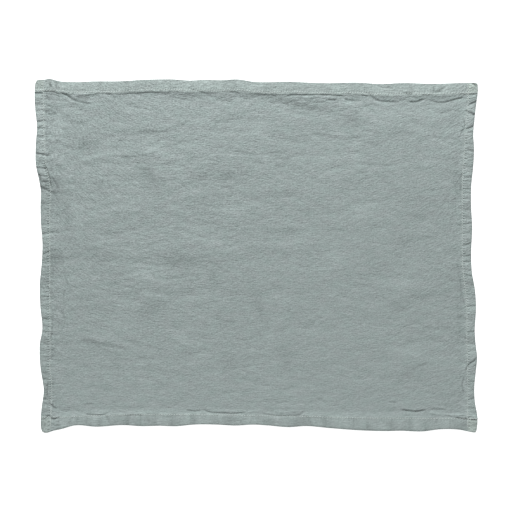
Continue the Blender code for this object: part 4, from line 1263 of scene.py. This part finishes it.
class PLACEMAT_OT_cloth(bpy.types.Operator):
    """Make the linen cloth with its turned hems"""
    bl_idname = "placemat.cloth"
    bl_label = "Linen cloth"

    def execute(self, context):
        settings = context.scene.placemat_linen
        shape = ClothTones(settings)
        top, top_u, top_v = add_flat_grid(
            "linen_sheet", mesh_lines(shape.half_u, TOP_EDGE_LINES + TOP_SIDE_LINES, TOP_STEP_X),
            mesh_lines(shape.half_v, TOP_EDGE_LINES, TOP_STEP_Y))
        write_points(top.data, top_u, top_v, np.zeros_like(top_u))
        top_u, top_v = refine(top, shape)
        under, under_u, under_v = add_flat_grid(
            "linen_underside", mesh_lines(shape.half_u, UNDER_EDGE_LINES, UNDER_STEP_X),
            mesh_lines(shape.half_v, UNDER_EDGE_LINES, UNDER_STEP_Y))
        edit_all(under, bpy.ops.mesh.flip_normals)
        top.select_set(True)
        context.view_layer.objects.active = top
        bpy.ops.object.join()

        u, v = np.concatenate((top_u, under_u)), np.concatenate((top_v, under_v))
        is_top = np.arange(len(u)) < len(top_u)
        x, y = shape.lay_flat(u, v)
        high, low = shape.top(u, v), shape.bottom(u, v)
        z = np.where(is_top, shape.rounded(u, v, high, low), shape.rounded(u, v, low, high))
        write_points(top.data, x, y, z)
        self.close_rim(top.data, u, v, len(top_u))
        self.keep_places(top.data, shape, u, v, x, y)
        self.keep_tones(top.data, shape, u, v)
        for face in top.data.polygons:
            face.use_smooth = True
        top.data.materials.clear()
        top.data.materials.append(washed_linen(settings))
        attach(top, "root")
        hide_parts("mat_cloth")
        return {"FINISHED"}

    def close_rim(self, mesh, u, v, top_count):
        """Joins the top's rim to the underside's."""
        edit = bmesh.new()
        edit.from_mesh(mesh)
        edit.verts.ensure_lookup_table()
        rim = np.array([vert.index for vert in edit.verts if vert.is_boundary])
        upper = ring_of(edit, u, v, rim[rim < top_count])
        lower = ring_of(edit, u, v, rim[rim >= top_count])
        zip_rings(edit, upper, lower)
        edit.to_mesh(mesh)
        edit.free()

    def keep_places(self, mesh, shape, u, v, x, y):
        """Keeps the flat cloth's coordinates as a UV map, and those of the streaks as attributes."""
        while mesh.uv_layers:
            mesh.uv_layers.remove(mesh.uv_layers[0])
        layer = mesh.uv_layers.new(name="cloth")
        corner = np.empty(len(mesh.loops), dtype=int)
        mesh.loops.foreach_get("vertex_index", corner)
        flat = np.column_stack((u / shape.half_u / 2 + 0.5, v / shape.half_v / 2 + 0.5))
        layer.data.foreach_set("uv", flat[corner].ravel())
        for name, places in (("grain", streak_places(x, y)), ("pulled", pulled_places(x, y))):
            streaks = mesh.attributes.new(name, "FLOAT_VECTOR", "POINT")
            streaks.data.foreach_set("vector", np.column_stack((*places, np.zeros_like(x))).ravel())

    def keep_tones(self, mesh, shape, u, v):
        """Keeps what the material reads of the cloth's light, shade and gathers."""
        side, end = shape.inward(u, v)
        write_attribute(mesh, "tone_and_painted_light", shape.tone_and_painted_light(u, v))
        write_attribute(mesh, "layers", shape.layers(u, v))
        write_attribute(mesh, "shade", shape.shade(u, v))
        write_attribute(mesh, "strength", shape.strength(u, v))
        write_attribute(mesh, "side_seam", shape.gathers(side))
        write_attribute(mesh, "end_seam", shape.gathers(end) * np.where(v > 0, 1.0, GATHERS_FRONT))


TACKS = 6                   # each row starts and ends with this many stitches sewn back over the others
TACK_ASIDE = 0.7            # and this far beside them, in millimetres
THREAD_FLAT = 0.55          # the thread lies flattened, this high for its width
THREAD_BOW = 0.35           # and its middle rises by this share of half its width
SUNK_ON_TOP = 0.2           # a stitch is sunk in by this share of half its width on the top
SUNK_UNDERNEATH = 0.5       # and by this one underneath


class PLACEMAT_OT_stitches(bpy.types.Operator):
    """Make the rows of stitches along the four hems, on the top and underneath"""
    bl_idname = "placemat.stitches"
    bl_label = "Hem stitches"

    def execute(self, context):
        settings = context.scene.placemat_stitches
        shape = ClothShape(context.scene.placemat_linen)
        clear_selection()
        bpy.ops.mesh.primitive_uv_sphere_add(segments=6, ring_count=5, radius=1.0)
        stitches = context.object
        stitches.name = "hem_stitches"
        edit_all(
            stitches, bpy.ops.transform.rotate, value=np.pi / 2, orient_axis="Y", orient_type="GLOBAL",
            center_override=(0.0, 0.0, 0.0))
        unit = read_points(stitches.data)
        faces = [tuple(face.vertices) for face in stitches.data.polygons]

        points = np.concatenate([
            self.lay_stitches(shape, settings, unit, *self.stitch_ends(shape, settings, True), 1.0),
            self.lay_stitches(shape, settings, unit, *self.stitch_ends(shape, settings, False), -1.0)])
        count = len(points) // len(unit)
        joined = [
            tuple(index + stitch * len(unit) for index in face) for stitch in range(count) for face in faces]
        mesh = bpy.data.meshes.new("hem_stitches")
        mesh.from_pydata(points * MM, [], joined)
        stitches.data = mesh
        edit_all(stitches, bpy.ops.mesh.normals_make_consistent, inside=False)
        bpy.ops.object.shade_smooth()
        mesh.materials.append(sewing_thread(settings))
        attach(stitches, "root")
        return {"FINISHED"}

    def stitch_ends(self, shape, settings, tacked):
        """The two ends of every stitch, on the straight rectangle, with the rows' tacked ends or without."""
        pitch, length = settings.pitch / MM, settings.length / MM
        starts, ends = [], []
        hems = ((shape.half_u, shape.half_v, False), (shape.half_v, shape.half_u, True))
        for half, across_half, swap in hems:
            count = int(half / pitch)
            middles = np.arange(-count, count) * pitch + pitch / 2
            tacks = np.concatenate((middles[:TACKS], middles[-TACKS:])) + pitch / 2
            rows = ((middles, 0.0), (tacks, TACK_ASIDE)) if tacked else ((middles, 0.0),)
            line = across_half - shape.hem_width
            for sign in (-1.0, 1.0):
                for row, aside in rows:
                    across = np.full_like(row, sign * (line - aside))
                    for shift, store in ((-length / 2, starts), (length / 2, ends)):
                        pair = (across, row + shift) if swap else (row + shift, across)
                        store.append(np.column_stack(pair))
        return np.concatenate(starts), np.concatenate(ends)

    def lay_stitches(self, shape, settings, unit, starts, ends, side):
        """Copies the one stitch between every pair of ends, sunk into the top or the underside."""
        radius = settings.thread / MM / 2
        height, sunk = (shape.top, SUNK_ON_TOP) if side > 0 else (shape.bottom, SUNK_UNDERNEATH)
        a, b = (np.column_stack((*shape.lay_flat(*place.T), height(*place.T))) for place in (starts, ends))
        middle, along = (a + b) / 2, (b - a) / 2
        across = np.column_stack((-along[:, 1], along[:, 0], np.zeros(len(along))))
        across /= np.linalg.norm(across, axis=1, keepdims=True)
        bow = THREAD_BOW * radius * (1.0 - unit[:, 0] ** 2) - sunk * radius
        points = (middle[:, None, :] + unit[None, :, 0, None] * along[:, None, :]
                  + unit[None, :, 1, None] * radius * across[:, None, :])
        points[:, :, 2] += side * (bow + THREAD_FLAT * radius * unit[:, 2])[None, :]
        return points.reshape(-1, 3)


# The stage, in metres
FLOOR_SIZE = 12.0           # wide enough to fill every view
FLOOR_DEPTH = 0.0002        # the floor lies this far under the mat, so that the two stay apart
CAMERA_ASIDE = (-0.00006, -0.00035)     # the camera stands this far from the mat's middle
SENSOR_WIDTH = 36.0         # in millimetres
KEY_LENGTH = 1.2            # the key light's two sides
KEY_WIDTH = 0.4
KEY_PLACE = (-0.4, 2.2, 1.2)        # behind the mat and a little to the left, turned to its middle


class PLACEMAT_OT_stage(bpy.types.Operator):
    """Set up the camera straight above, the soft light from the back and the white floor"""
    bl_idname = "placemat.stage"
    bl_label = "Stage"

    def execute(self, context):
        settings = context.scene.placemat_stage
        clear_selection()
        bpy.ops.mesh.primitive_plane_add(size=FLOOR_SIZE, location=(0.0, 0.0, -FLOOR_DEPTH))
        floor = context.object
        floor.name = "floor"
        floor.data.materials.append(paper_sweep(settings))

        camera = bpy.data.cameras.new("camera")
        camera.lens = settings.lens
        camera.sensor_width = SENSOR_WIDTH
        watcher = bpy.data.objects.new("camera", camera)
        watcher.location = (*CAMERA_ASIDE, settings.height)
        context.scene.collection.objects.link(watcher)
        context.scene.camera = watcher

        key = bpy.data.lights.new("key", "AREA")
        key.shape = "RECTANGLE"
        key.size, key.size_y = KEY_LENGTH, KEY_WIDTH
        key.energy = settings.key_power
        lamp = bpy.data.objects.new("key", key)
        lamp.location = KEY_PLACE
        lamp.rotation_euler = (Vector((0.0, 0.0, 0.0)) - lamp.location).to_track_quat("-Z", "Y").to_euler()
        context.scene.collection.objects.link(lamp)

        world = bpy.data.worlds.new("even light")
        world.use_nodes = True
        sky = world.node_tree.nodes["Background"]
        sky.inputs["Color"].default_value = (1.0, 1.0, 1.0, 1.0)
        sky.inputs["Strength"].default_value = settings.sky
        context.scene.world = world
        context.scene.view_settings.view_transform = "Standard"
        return {"FINISHED"}


class PLACEMAT_PT_panel(bpy.types.Panel):
    """The placemat's pieces and settings"""
    bl_idname = "PLACEMAT_PT_panel"
    bl_label = "Linen Placemat"
    bl_space_type = "VIEW_3D"
    bl_region_type = "UI"
    bl_category = "Placemat"

    def draw(self, context):
        for group in SETTINGS:
            settings = getattr(context.scene, group)
            box = self.layout.box()
            for name in settings.__annotations__:
                box.prop(settings, name)
        for operator in OPERATORS:
            self.layout.operator(operator.bl_idname)


SETTINGS = {
    "placemat_linen": LinenSettings, "placemat_stitches": StitchSettings, "placemat_stage": StageSettings}
OPERATORS = (PLACEMAT_OT_cloth, PLACEMAT_OT_stitches, PLACEMAT_OT_stage)
CLASSES = (*SETTINGS.values(), *OPERATORS, PLACEMAT_PT_panel)


def register():
    """Registers the classes and puts the settings on the scene."""
    for cls in CLASSES:
        bpy.utils.register_class(cls)
    for name, group in SETTINGS.items():
        setattr(bpy.types.Scene, name, PointerProperty(type=group))


def unregister():
    """Takes the settings off the scene and unregisters the classes."""
    for name in SETTINGS:
        delattr(bpy.types.Scene, name)
    for cls in reversed(CLASSES):
        bpy.utils.unregister_class(cls)


def main():
    """Makes the placemat and its stage."""
    register()
    bpy.ops.placemat.cloth()
    bpy.ops.placemat.stitches()
    bpy.ops.placemat.stage()


if __name__ == "__main__":
    main()
